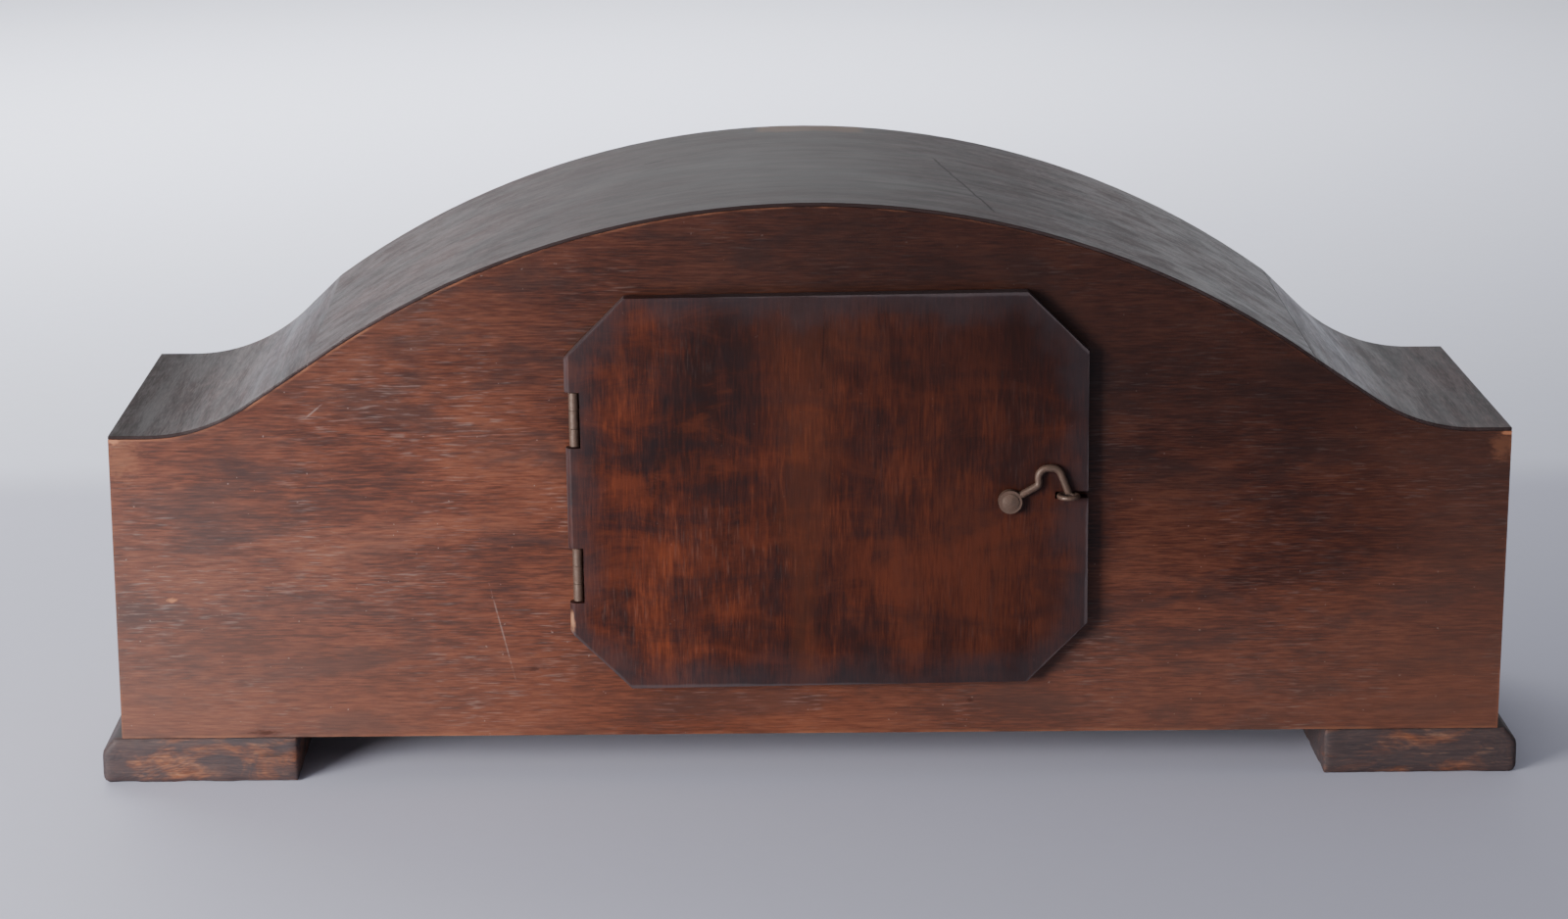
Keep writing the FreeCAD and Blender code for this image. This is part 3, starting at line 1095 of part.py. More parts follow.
def square_bar(axis, y0, y1, side):
    """A square bar along Y."""
    return box(axis[0] - side / 2, axis[0] + side / 2, y0, y1, axis[1] - side / 2, axis[1] + side / 2)


def winding_arbor():
    """The arbor with a hub in the drum, a winding square in front and a ratchet square behind."""
    front = ahead(DIAL_THICKNESS + WINDING_SQUARE_PROUD)
    body = rod(*BARREL, PLATE_FRONT_Y, PLATE_BACK_Y, WINDING_ARBOR_RADIUS)
    hub = rod(*BARREL, DRUM_FLOOR_Y + END_SHAKE, CAP_Y - END_SHAKE, WINDING_HUB_RADIUS)
    return fuse(body, hub, square_bar(BARREL, front, PLATE_FRONT_Y, WINDING_SQUARE),
                square_bar(BARREL, PLATE_BACK_Y, RATCHET_END_Y + RATCHET_STAND_OFF, WINDING_SQUARE))


def ratchet_wheel():
    """A saw-toothed wheel on the arbor's rear square."""
    pitch = 2 * math.pi / RATCHET_TEETH
    points = []
    for tooth in range(RATCHET_TEETH):
        for radius in (RATCHET_RADIUS - RATCHET_DEPTH, RATCHET_RADIUS):
            points.append((BARREL[0] + radius * math.cos(tooth * pitch),
                           BARREL[1] + radius * math.sin(tooth * pitch)))
    wheel = slab(points, RATCHET_Y, RATCHET_END_Y)
    return wheel.cut(square_bar(BARREL, RATCHET_Y, RATCHET_END_Y, WINDING_SQUARE + 2 * FIT))


# The click lies on a tangent of the ratchet at this bearing; s runs along it and n outwards
CLICK_ANGLE = math.radians(CLICK_BEARING)
CLICK_TIP_RADIUS = RATCHET_RADIUS + CLICK_CLEARANCE


def beside_ratchet(s, n):
    """The x, z point at s along the click's tangent and n out from it."""
    radial = (math.cos(CLICK_ANGLE), math.sin(CLICK_ANGLE))
    reach = CLICK_TIP_RADIUS + n
    return (BARREL[0] + radial[0] * reach - radial[1] * s, BARREL[1] + radial[1] * reach + radial[0] * s)


CLICK_PIVOT = beside_ratchet(CLICK_LENGTH, CLICK_WIDTH / 2)
CLICK_SEAT_Y = RATCHET_END_Y + PIVOT_SHAKE


def click():
    """The pawl, with its beak just clear of the ratchet's tooth tips."""
    tail = CLICK_LENGTH + CLICK_WIDTH / 2
    corners = [(0, 0), (tail, 0), (tail, CLICK_WIDTH), (CLICK_LENGTH / 2, CLICK_WIDTH),
               (CLICK_WIDTH / 4, CLICK_WIDTH / 4)]
    body = slab([beside_ratchet(s, n) for s, n in corners], RATCHET_Y, RATCHET_END_Y)
    return body.cut(rod(*CLICK_PIVOT, RATCHET_Y, RATCHET_END_Y, CLICK_SCREW_RADIUS + PIVOT_SHAKE))


def click_screw():
    """The shouldered screw that the click turns on."""
    head = rod(*CLICK_PIVOT, CLICK_SEAT_Y, CLICK_SEAT_Y + CLICK_SCREW_HEAD_HEIGHT, CLICK_SCREW_HEAD_RADIUS)
    return fuse(head, rod(*CLICK_PIVOT, BACK_PLATE_Y, CLICK_SEAT_Y, CLICK_SCREW_RADIUS))


def click_spring():
    """A leaf on the back plate whose free end stands off the click by the click's own travel."""
    near, thick = CLICK_WIDTH + CLICK_CLEARANCE + CLICK_SPRING_THICKNESS, CLICK_SPRING_THICKNESS
    far = near + CLICK_LENGTH / 5
    root = CLICK_LENGTH + CLICK_SPRING_LENGTH / 2
    leaf = [beside_ratchet(s, n) for s, n in ((root, near), (root, near + thick),
                                              (CLICK_LENGTH / 4, far + thick), (CLICK_LENGTH / 4, far))]
    foot = [beside_ratchet(s, n) for s, n in ((root - 2 * thick, near), (root + 4 * thick, near),
                                              (root + 4 * thick, near + 6 * thick),
                                              (root - 2 * thick, near + 6 * thick))]
    return fuse(slab(foot, PLATE_BACK_Y, RATCHET_END_Y), slab(leaf, RATCHET_Y, RATCHET_END_Y))


parts["mainspring_barrel"] = mainspring_barrel()
parts["barrel_cap"] = tube(*BARREL, CAP_Y, DRUM_END_Y, DRUM_INNER - FIT, WINDING_ARBOR_RADIUS + PIVOT_SHAKE)
parts["mainspring"] = mainspring()
parts["winding_arbor"] = winding_arbor()
parts["ratchet_wheel"] = ratchet_wheel()
parts["click"] = click()
parts["click_screw"] = click_screw()
parts["click_spring"] = click_spring()
back_plate = drilled(back_plate, [CLICK_PIVOT], BACK_PLATE_Y, PLATE_BACK_Y, CLICK_SCREW_RADIUS + FIT)
parts["back_plate"] = back_plate

# Escapement and pendulum, which rock about the same axis
PENDULUM_Y = PLATE_BACK_Y + PENDULUM_STAND_OFF
CRUTCH_Y = PLATE_BACK_Y + CRUTCH_STAND_OFF
COCK_LOW_Z = PALLET[1] + COCK_DROP
COCK_HIGH_Z = COCK_LOW_Z + COCK_HEIGHT


def pallet_arm(side):
    """One arm of the anchor, ending in a wedge that points at the escape wheel's axis."""
    angle = math.pi / 2 - side * PALLET_BEARING
    y0, y1 = place(ESCAPE_WHEEL_PLACE) - PALLET_WIDTH / 2, place(ESCAPE_WHEEL_PLACE) + PALLET_WIDTH

    def spot(reach, across_arm):
        radius = ESCAPE_RADIUS + PALLET_CLEARANCE + reach
        return (ESCAPE[0] + radius * math.cos(angle) - across_arm * math.sin(angle),
                ESCAPE[1] + radius * math.sin(angle) + across_arm * math.cos(angle))

    half_tip, half_root = PALLET_NIB / 2, PALLET_ARM_WIDTH / 2
    wedge = slab([spot(0, half_tip), spot(0, -half_tip), spot(PALLET_WIDTH, -half_root),
                  spot(PALLET_WIDTH, half_root)], y0, y1)
    elbow = spot(PALLET_WIDTH, 0)
    lean = bearing(PALLET, elbow) + math.pi / 2
    off = (half_root * math.cos(lean), half_root * math.sin(lean))
    arm = slab([(PALLET[0] + off[0], PALLET[1] + off[1]), (elbow[0] + off[0], elbow[1] + off[1]),
                (elbow[0] - off[0], elbow[1] - off[1]), (PALLET[0] - off[0], PALLET[1] - off[1])], y0, y1)
    return fuse(wedge, arm)


def pallet_anchor():
    """Anchor, arbor and crutch: the crutch's fork holds the pendulum rod behind the back plate."""
    y0, y1 = place(ESCAPE_WHEEL_PLACE) - PALLET_WIDTH / 2, place(ESCAPE_WHEEL_PLACE) + PALLET_WIDTH
    arbor = with_pivots(rod(*PALLET, ARBOR_FRONT_Y, ARBOR_BACK_Y, ARBOR_RADIUS), PALLET)
    crutch_end = CRUTCH_Y + CRUTCH_THICKNESS
    tail = rod(*PALLET, PLATE_BACK_Y, crutch_end, PIVOT_RADIUS)
    half, low = CRUTCH_WIDTH / 2, PALLET[1] - CRUTCH_LENGTH
    head = rod(*PALLET, CRUTCH_Y, crutch_end, PALLET_HUB_RADIUS)
    stem = box(-half, half, CRUTCH_Y, crutch_end, low, PALLET[1])
    gap = ROD_RADIUS + CRUTCH_FORK_GAP
    bar = box(-gap - CRUTCH_THICKNESS, gap + CRUTCH_THICKNESS, CRUTCH_Y, crutch_end, low - CRUTCH_WIDTH, low)
    tines = [box(x, x + CRUTCH_THICKNESS, crutch_end, PENDULUM_Y + 2 * ROD_RADIUS, low - CRUTCH_WIDTH, low)
             for x in (-gap - CRUTCH_THICKNESS, gap)]
    return fuse(rod(*PALLET, y0, y1, PALLET_HUB_RADIUS), pallet_arm(1), pallet_arm(-1), arbor, tail, head,
                stem, bar, *tines)


def suspension_cock():
    """The bracket on the back plate that clamps the suspension spring."""
    half, end = COCK_WIDTH / 2, PENDULUM_Y + SUSPENSION_SPRING_WIDTH
    foot = box(-half, half, PLATE_BACK_Y, PLATE_BACK_Y + COCK_THICKNESS, COCK_LOW_Z, COCK_HIGH_Z)
    arm = box(-half / 2, half / 2, PLATE_BACK_Y, end, COCK_LOW_Z, COCK_LOW_Z + 2 * COCK_THICKNESS)
    slit = SUSPENSION_SPRING_THICKNESS / 2 + FIT
    slot = box(-slit, slit, PENDULUM_Y - SUSPENSION_SPRING_WIDTH / 2 - FIT, end, COCK_LOW_Z, COCK_HIGH_Z)
    return fuse(foot, arm).cut(slot)


def pendulum_rod():
    """The rod with a slit head round the spring's lower end."""
    top = PALLET[1] - ROD_HEAD_DROP
    low = PALLET[1] - PENDULUM_LENGTH - BOB_RADIUS - ROD_TAIL
    head = box(-ROD_HEAD_HALF, ROD_HEAD_HALF, PENDULUM_Y - ROD_HEAD_HALF, PENDULUM_Y + ROD_HEAD_HALF,
               top - ROD_HEAD_HEIGHT, top)
    slit_low = PALLET[1] - SUSPENSION_SPRING_LENGTH / 2 - ROD_HEAD_SLIT / 2
    slit = box(-ROD_HEAD_SLIT / 2, ROD_HEAD_SLIT / 2, PENDULUM_Y - ROD_HEAD_HALF, PENDULUM_Y + ROD_HEAD_HALF,
               slit_low, top)
    return fuse(head.cut(slit), upright(0, PENDULUM_Y, low, top - ROD_HEAD_HEIGHT, ROD_RADIUS))


def pendulum_bob():
    """A lens-shaped bob bored for the rod."""
    z = PALLET[1] - PENDULUM_LENGTH
    front, back = PENDULUM_Y - BOB_RIM / 2, PENDULUM_Y + BOB_RIM / 2
    section = [cap(BOB_RADIUS, back, BOB_CROWN)] + run([(0, back + BOB_CROWN), (0, front - BOB_CROWN)])
    section += [cap(BOB_RADIUS, front, -BOB_CROWN)] + run([(BOB_RADIUS, front), (BOB_RADIUS, back)])
    bore = upright(0, PENDULUM_Y, z - BOB_RADIUS, z + BOB_RADIUS, ROD_RADIUS + FIT)
    return turned(section, 0, z).cut(bore)


def rating_nut():
    """The knurled nut under the bob."""
    top = PALLET[1] - PENDULUM_LENGTH - BOB_RADIUS
    nut = upright(0, PENDULUM_Y, top - RATING_NUT_HEIGHT, top, RATING_NUT_RADIUS)
    return nut.cut(upright(0, PENDULUM_Y, top - RATING_NUT_HEIGHT, top, ROD_RADIUS + FIT))


parts["pallet_anchor"] = pallet_anchor()
parts["suspension_cock"] = suspension_cock()
half_spring = SUSPENSION_SPRING_LENGTH / 2
half_leaf, half_width = SUSPENSION_SPRING_THICKNESS / 2, SUSPENSION_SPRING_WIDTH / 2
parts["suspension_spring"] = box(-half_leaf, half_leaf, PENDULUM_Y - half_width, PENDULUM_Y + half_width,
                                 PALLET[1] - half_spring, PALLET[1] + half_spring)
parts["pendulum_rod"] = pendulum_rod()
parts["pendulum_bob"] = pendulum_bob()
parts["rating_nut"] = rating_nut()

# One STEP file for each node
os.makedirs("parts", exist_ok=True)
for name, shape in parts.items():
    shape.exportStep(os.path.join("parts", name + ".step"))
    print(name, "valid" if shape.isValid() else "NOT VALID", len(shape.Solids), round(shape.Volume, 2))
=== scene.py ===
"""A hat-shaped mantel clock seen from behind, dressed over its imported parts."""

from __future__ import annotations

import json
import logging
import math
from dataclasses import dataclass, field, replace
from enum import Enum
from typing import Any, Mapping, Optional, Union

import bmesh
import bpy
from bpy.types import Material, Mesh, Node, NodeSocket, NodeTree, Object
from mathutils import Matrix, Vector, noise

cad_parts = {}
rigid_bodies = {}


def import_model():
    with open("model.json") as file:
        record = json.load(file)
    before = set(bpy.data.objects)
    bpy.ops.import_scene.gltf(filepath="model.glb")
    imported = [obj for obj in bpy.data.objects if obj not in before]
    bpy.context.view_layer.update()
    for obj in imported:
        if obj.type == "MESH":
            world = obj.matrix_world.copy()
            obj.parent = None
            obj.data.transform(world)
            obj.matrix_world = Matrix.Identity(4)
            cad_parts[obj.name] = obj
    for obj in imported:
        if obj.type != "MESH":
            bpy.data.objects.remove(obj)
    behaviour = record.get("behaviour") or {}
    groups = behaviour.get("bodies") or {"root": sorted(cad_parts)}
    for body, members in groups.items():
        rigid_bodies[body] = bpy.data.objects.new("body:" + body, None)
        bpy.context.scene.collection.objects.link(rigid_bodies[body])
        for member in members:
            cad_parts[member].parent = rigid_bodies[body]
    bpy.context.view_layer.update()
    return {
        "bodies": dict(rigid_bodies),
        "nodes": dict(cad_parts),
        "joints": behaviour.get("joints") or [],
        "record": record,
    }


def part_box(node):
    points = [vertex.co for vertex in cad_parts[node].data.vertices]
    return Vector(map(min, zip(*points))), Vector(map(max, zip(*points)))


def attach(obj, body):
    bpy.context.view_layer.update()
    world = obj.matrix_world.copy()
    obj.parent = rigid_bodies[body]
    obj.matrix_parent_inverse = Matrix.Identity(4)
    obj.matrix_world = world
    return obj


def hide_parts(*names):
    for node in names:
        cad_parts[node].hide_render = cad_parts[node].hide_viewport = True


LOG = logging.getLogger("mantel_clock")
MM = 0.001
DIAGONAL = 0.707
Tone = tuple[float, float, float]
Rates = tuple[float, float, float]
Span = tuple[float, float]
Pair = tuple[float, float]
Point = tuple[float, float, float]
BLACK: Tone = (0.0, 0.0, 0.0)


class Value:
    """A number socket of a shader that joins in arithmetic."""

    def __init__(self, sheet: Sheet, socket: NodeSocket) -> None:
        """Keeps the shader and the socket."""
        self.sheet = sheet
        self.socket = socket

    def maths(self, operation: str, *others: Operand) -> Value:
        """The result of a Math node on this value and others."""
        inputs = dict(enumerate((self, *others)))
        return self.sheet.value("ShaderNodeMath", {"operation": operation}, inputs)

    def __add__(self, other: Operand) -> Value:
        """Sum."""
        return self.maths("ADD", other)

    def __mul__(self, other: Operand) -> Value:
        """Product."""
        return self.maths("MULTIPLY", other)

    def __sub__(self, other: Operand) -> Value:
        """Difference."""
        return self.maths("SUBTRACT", other)

    def __truediv__(self, other: Operand) -> Value:
        """Quotient."""
        return self.maths("DIVIDE", other)

    def __rsub__(self, other: float) -> Value:
        """A number less this value."""
        return self * -1.0 + other

    __radd__ = __add__
    __rmul__ = __mul__

    def size(self) -> Value:
        """Absolute value."""
        return self.maths("ABSOLUTE")

    def least(self, other: Operand) -> Value:
        """The smaller of two."""
        return self.maths("MINIMUM", other)

    def most(self, other: Operand) -> Value:
        """The larger of two."""
        return self.maths("MAXIMUM", other)

    def root(self) -> Value:
        """Square root."""
        return self.maths("SQRT")

    def rise(self, low: float, high: float) -> Value:
        """A soft step from 0 at low to 1 at high."""
        settings = {"interpolation_type": "SMOOTHSTEP"}
        return self.sheet.value("ShaderNodeMapRange", settings, {0: self, 1: low, 2: high})

    def fall(self, low: float, high: float) -> Value:
        """A soft step from 1 at low to 0 at high."""
        return 1.0 - self.rise(low, high)

    def swing(self, reach: float) -> Value:
        """A 0 to 1 noise as a sway of half the reach either way."""
        return (self - 0.5) * reach

    def wave(self, rate: float) -> Value:
        """A wave from 0 to 1 along the value, at a rate in radians."""
        return (self * rate).maths("SINE") * 0.5 + 0.5


Operand = Union[Value, float]


def even(rate: float) -> Rates:
    """The same rate along x, y and z."""
    return rate, rate, rate


def opaque(tone: Any) -> Any:
    """A plain tone with its alpha, or a colour's socket as it is."""
    return (*tone, 1.0) if isinstance(tone, tuple) else tone


class Graph:
    """A node tree and the way nodes are put into it."""

    def __init__(self, tree: NodeTree) -> None:
        """Keeps the tree."""
        self.tree = tree

    def node(self, kind: str, settings: Optional[Mapping[str, Any]] = None,
             inputs: Optional[Mapping[Union[int, str], Any]] = None) -> Node:
        """Adds any node.

        Args:
            kind: the node's type.
            settings: its attributes.
            inputs: values or links of its sockets.

        Returns:
            The node.
        """
        node = self.tree.nodes.new(kind)
        for key, value in (settings or {}).items():
            setattr(node, key, value)
        for key, value in (inputs or {}).items():
            source = value.socket if isinstance(value, Value) else value
            if isinstance(source, NodeSocket):
                self.tree.links.new(source, node.inputs[key])
            else:
                node.inputs[key].default_value = source
        return node


class Sheet(Graph):
    """One material's shader, laid out by Python expressions in millimetres."""

    MIX_SHARE, MIX_FIRST, MIX_SECOND, MIX_RESULT = 0, 6, 7, 2
    SHIFT_WAY: Rates = (1.0, 1.7, 0.6)

    def __init__(self, name: str, tone: Any = BLACK) -> None:
        """Starts a shader.

        Args:
            name: the material's name.
            tone: the colour to start from.
        """
        self.material = bpy.data.materials.new(name)
        self.material.use_nodes = True
        super().__init__(self.material.node_tree)
        self.tree.nodes.clear()
        self.tone = tone
        metres = self.node("ShaderNodeTexCoord").outputs["Object"]
        inputs = {0: metres, "Scale": 1.0 / MM}
        self.place = self.node("ShaderNodeVectorMath", {"operation": "SCALE"}, inputs).outputs[0]
        parts = self.node("ShaderNodeSeparateXYZ", {}, {0: self.place})
        self.x, self.y, self.z = (Value(self, parts.outputs[k]) for k in range(3))

    def value(self, kind: str, settings: Mapping[str, Any], inputs: Mapping[Union[int, str], Any]) -> Value:
        """The first result of a new node, as a number."""
        return Value(self, self.node(kind, settings, inputs).outputs[0])

    def vector(self, operation: str, first: Any, second: Any) -> NodeSocket:
        """The result of a Vector Math node on two vectors."""
        settings = {"operation": operation}
        return self.node("ShaderNodeVectorMath", settings, {0: first, 1: second}).outputs[0]

    def cloud(self, stretch: Rates, shift: float = 0.0, detail: float = 3.0, rough: float = 0.5,
              warp: float = 0.0) -> Value:
        """Noise over the piece, 0 to 1.

        Args:
            stretch: cycles per millimetre along x, y and z.
            shift: moves the pattern, so that two layers differ.
            detail: octaves.
            rough: weight of the fine octaves.
            warp: distortion.

        Returns:
            The noise.
        """
        spread = self.vector("MULTIPLY", self.place, stretch)
        moved = self.vector("ADD", spread, tuple(way * shift for way in self.SHIFT_WAY))
        inputs = {"Vector": moved, "Scale": 1.0, "Detail": detail, "Roughness": rough, "Distortion": warp}
        return self.value("ShaderNodeTexNoise", {"noise_dimensions": "3D"}, inputs)

    def blend(self, first: Any, second: Any, share: Operand) -> NodeSocket:
        """Mixes two colours.

        Args:
            first: colour at share 0.
            second: colour at share 1.
            share: how much of the second shows.

        Returns:
            The colour's socket.
        """
        settings = {"data_type": "RGBA", "blend_type": "MIX", "clamp_factor": True}
        inputs = {self.MIX_SHARE: share, self.MIX_FIRST: opaque(first), self.MIX_SECOND: opaque(second)}
        return self.node("ShaderNodeMix", settings, inputs).outputs[self.MIX_RESULT]

    def tint(self, colour: Any, share: Operand) -> None:
        """Lets a colour cover a share of what the sheet shows so far."""
        self.tone = self.blend(self.tone, colour, share)

    def ramp(self, share: Value, *stops: tuple[float, Tone]) -> NodeSocket:
        """A colour ramp along a value.

        Args:
            share: where on the ramp.
            stops: places and tones.

        Returns:
            The colour's socket.
        """
        node = self.node("ShaderNodeValToRGB", {}, {0: share})
        elements = node.color_ramp.elements
        while len(elements) < len(stops):
            elements.new(1.0)
        for element, (at, tone) in zip(elements, stops):
            element.position = at
            element.color = opaque(tone)
        return node.outputs[0]

    def close(self, rough: Operand, height: Optional[Value] = None, depth: float = 0.05,
              **sockets: Any) -> Material:
        """Ends the shader.

        Args:
            rough: roughness.
            height: relief, 0 to 1.
            depth: the relief's depth in millimetres.
            sockets: further sockets of the surface, spaces written as underscores.

        Returns:
            The material.
        """
        inputs: dict[Union[int, str], Any] = {"Base Color": opaque(self.tone), "Roughness": rough}
        if height is not None:
            relief = {"Strength": 1.0, "Distance": depth * MM, "Height": height}
            inputs["Normal"] = self.node("ShaderNodeBump", {}, relief).outputs[0]
        inputs.update({key.replace("_", " "): value for key, value in sockets.items()})
        surface = self.node("ShaderNodeBsdfPrincipled", {}, inputs)
        self.node("ShaderNodeOutputMaterial", {}, {0: surface.outputs[0]})
        return self.material


class Grain(Enum):
    """The way the fibres run."""

    ALONG_X = 0
    ALONG_Y = 1
    ALONG_Z = 2

    def stretch(self, along: float, over: float) -> Rates:
        """Cycles per millimetre along the fibres and over them, put in order of x, y and z."""
        return tuple(along if axis == self.value else over for axis in range(3))


class Layer(Enum):
    """Shifts that keep the layers of one wooden finish apart."""

    FINE = 0.0
    STRAND = 5.0
    FIGURE = 9.0
    PORES = 15.0
    STREAK = 21.0
    SOOT = 27.0
    DUST = 33.0
    SPECK = 41.0
    SWAY = 55.0
    PATCH = 61.0
    SHEEN = 63.0
    FLECK = 71.0


@dataclass(frozen=True)
class Mark:
    """An oval place on an upright face, in millimetres and degrees."""

    x: float
    z: float
    half_x: float
    half_z: float
    turn: float = 0.0
    fray: float = 2.0
    rim: Span = (0.25, 1.15)

    def mask(self, sheet: Sheet, ragged: Value) -> Value:
        """Where the mark lies.

        Args:
            sheet: the shader.
            ragged: noise that frays the rim.

        Returns:
            1 inside and 0 outside.
        """
        c, s = math.cos(math.radians(self.turn)), math.sin(math.radians(self.turn))
        dx, dz = sheet.x - self.x, sheet.z - self.z
        u = (dx * c + dz * s) / self.half_x
        v = (dz * c - dx * s) / self.half_z
        return ((u * u + v * v).root() + ragged.swing(self.fray)).fall(*self.rim)


@dataclass(frozen=True)
class WoodTones:
    """Colours of one wood, from its dark fibres to its bare, worn places."""

    dark: Tone
    body: Tone
    bright: Tone
    worn: Tone
    soot: Tone = (0.017, 0.0105, 0.0105)
    dust: Tone = (0.24, 0.19, 0.175)


@dataclass(frozen=True)
class WoodSkin:
    """The pattern every wooden finish starts from."""

    tones: WoodTones
    grain: Grain
    shift: float = 0.0
    fine_share: float = 0.4
    strand_share: float = 0.25
    soot_share: float = 0.0
    dust_share: float = 0.0
    stops: tuple[float, float, float] = (0.405, 0.5, 0.595)

    def layer(self, sheet: Sheet, layer: Layer, stretch: Rates, detail: float, rough: float,
              warp: float = 0.0) -> Value:
        """Noise of one layer, shifted for this finish."""
        return sheet.cloud(stretch, self.shift + layer.value, detail, rough, warp)

    def fibres(self, sheet: Sheet) -> tuple[Value, Value]:
        """Lays the fibres, the pores, the sooty patches and the dust.

        Args:
            sheet: the shader.

        Returns:
            The fine fibre noise and the broad figure.
        """
        run = self.grain.stretch
        fine = self.layer(sheet, Layer.FINE, run(0.15, 1.9), 3.0, 0.62)
        strand = self.layer(sheet, Layer.STRAND, run(0.04, 0.45), 3.0, 0.6)
        figure = self.layer(sheet, Layer.FIGURE, run(0.016, 0.034), 4.0, 0.6, 0.5)
        rest = 1.0 - self.fine_share - self.strand_share
        share = fine * self.fine_share + strand * self.strand_share + figure * rest
        tones = (self.tones.dark, self.tones.body, self.tones.bright)
        sheet.tone = sheet.ramp(share, *zip(self.stops, tones))
        pores = self.layer(sheet, Layer.PORES, run(0.14, 1.6), 2.0, 0.5).rise(0.54, 0.7)
        patch = self.layer(sheet, Layer.SOOT, run(0.024, 0.085), 5.0, 0.66, 0.4).rise(0.46, 0.66)
        sheet.tint(self.tones.soot, (pores * 0.5).most(patch) * self.soot_share)
        self.dusted(sheet)
        return fine, figure

    def dusted(self, sheet: Sheet) -> None:
        """Adds the pale streaks and specks of old polish caught in the pores.

        Args:
            sheet: the shader.
        """
        streak = self.layer(sheet, Layer.STREAK, self.grain.stretch(0.15, 1.7), 2.0, 0.5).rise(0.54, 0.74)
        where = self.layer(sheet, Layer.DUST, even(0.028), 3.0, 0.55).rise(0.4, 0.65)
        speck = self.layer(sheet, Layer.SPECK, even(0.8), 1.0, 0.4).rise(0.79, 0.82)
        share = (streak * where).most(speck * 1.5) * self.dust_share
        sheet.tint(self.tones.dust, share)

    @staticmethod
    def marked(sheet: Sheet, ragged: Value, *kinds: tuple[tuple[Mark, ...], Tone, float]) -> None:
        """Lays marks over the wood.

        Args:
            sheet: the shader.
            ragged: noise that frays the marks.
            kinds: the marks of each kind, their colour and how strongly it shows.
        """
        for marks, colour, strength in kinds:
            for mark in marks:
                sheet.tint(colour, mark.mask(sheet, ragged) * strength)


@dataclass(frozen=True)
class RawWood(WoodSkin):
    """Bare inside timber."""

    def material(self) -> Material:
        """Makes the material.

        Returns:
            The bare wood.
        """
        sheet = Sheet("raw_wood")
        fine, _ = self.fibres(sheet)
        return sheet.close(0.75, fine, 0.08)


@dataclass(frozen=True)
class HatOutline:
    """The back panel's top edge, in millimetres: an arch, a straight run, a cove and a level shoulder."""

    arch_radius: float
    arch_centre_z: float
    crease_x: float
    turn: Pair
    run_way: Pair
    cove_centre: Pair
    cove_radius: float
    half_width: float
    foot_z: float
    join: Span = (-0.2, 0.2)

    def depth(self, sheet: Sheet) -> Value:
        """How far a place lies below the top edge.

        Args:
            sheet: the shader.

        Returns:
            The depth, negative above the edge.
        """
        side = sheet.x.size()
        rise = sheet.z - self.arch_centre_z
        arch = self.arch_radius - (sheet.x * sheet.x + rise * rise).root()
        run = (side - self.turn[0]) * self.run_way[0] + (sheet.z - self.turn[1]) * self.run_way[1]
        inward = (side - self.cove_centre[0]).least(0.0)
        below = self.cove_centre[1] - sheet.z
        cove = (inward * inward + below * below).root() - self.cove_radius
        past_crease = (side - self.crease_x).rise(*self.join)
        past_turn = (side - self.turn[0]).rise(*self.join)
        slope = run * (1.0 - past_turn) + cove * past_turn
        return arch * (1.0 - past_crease) + slope * past_crease


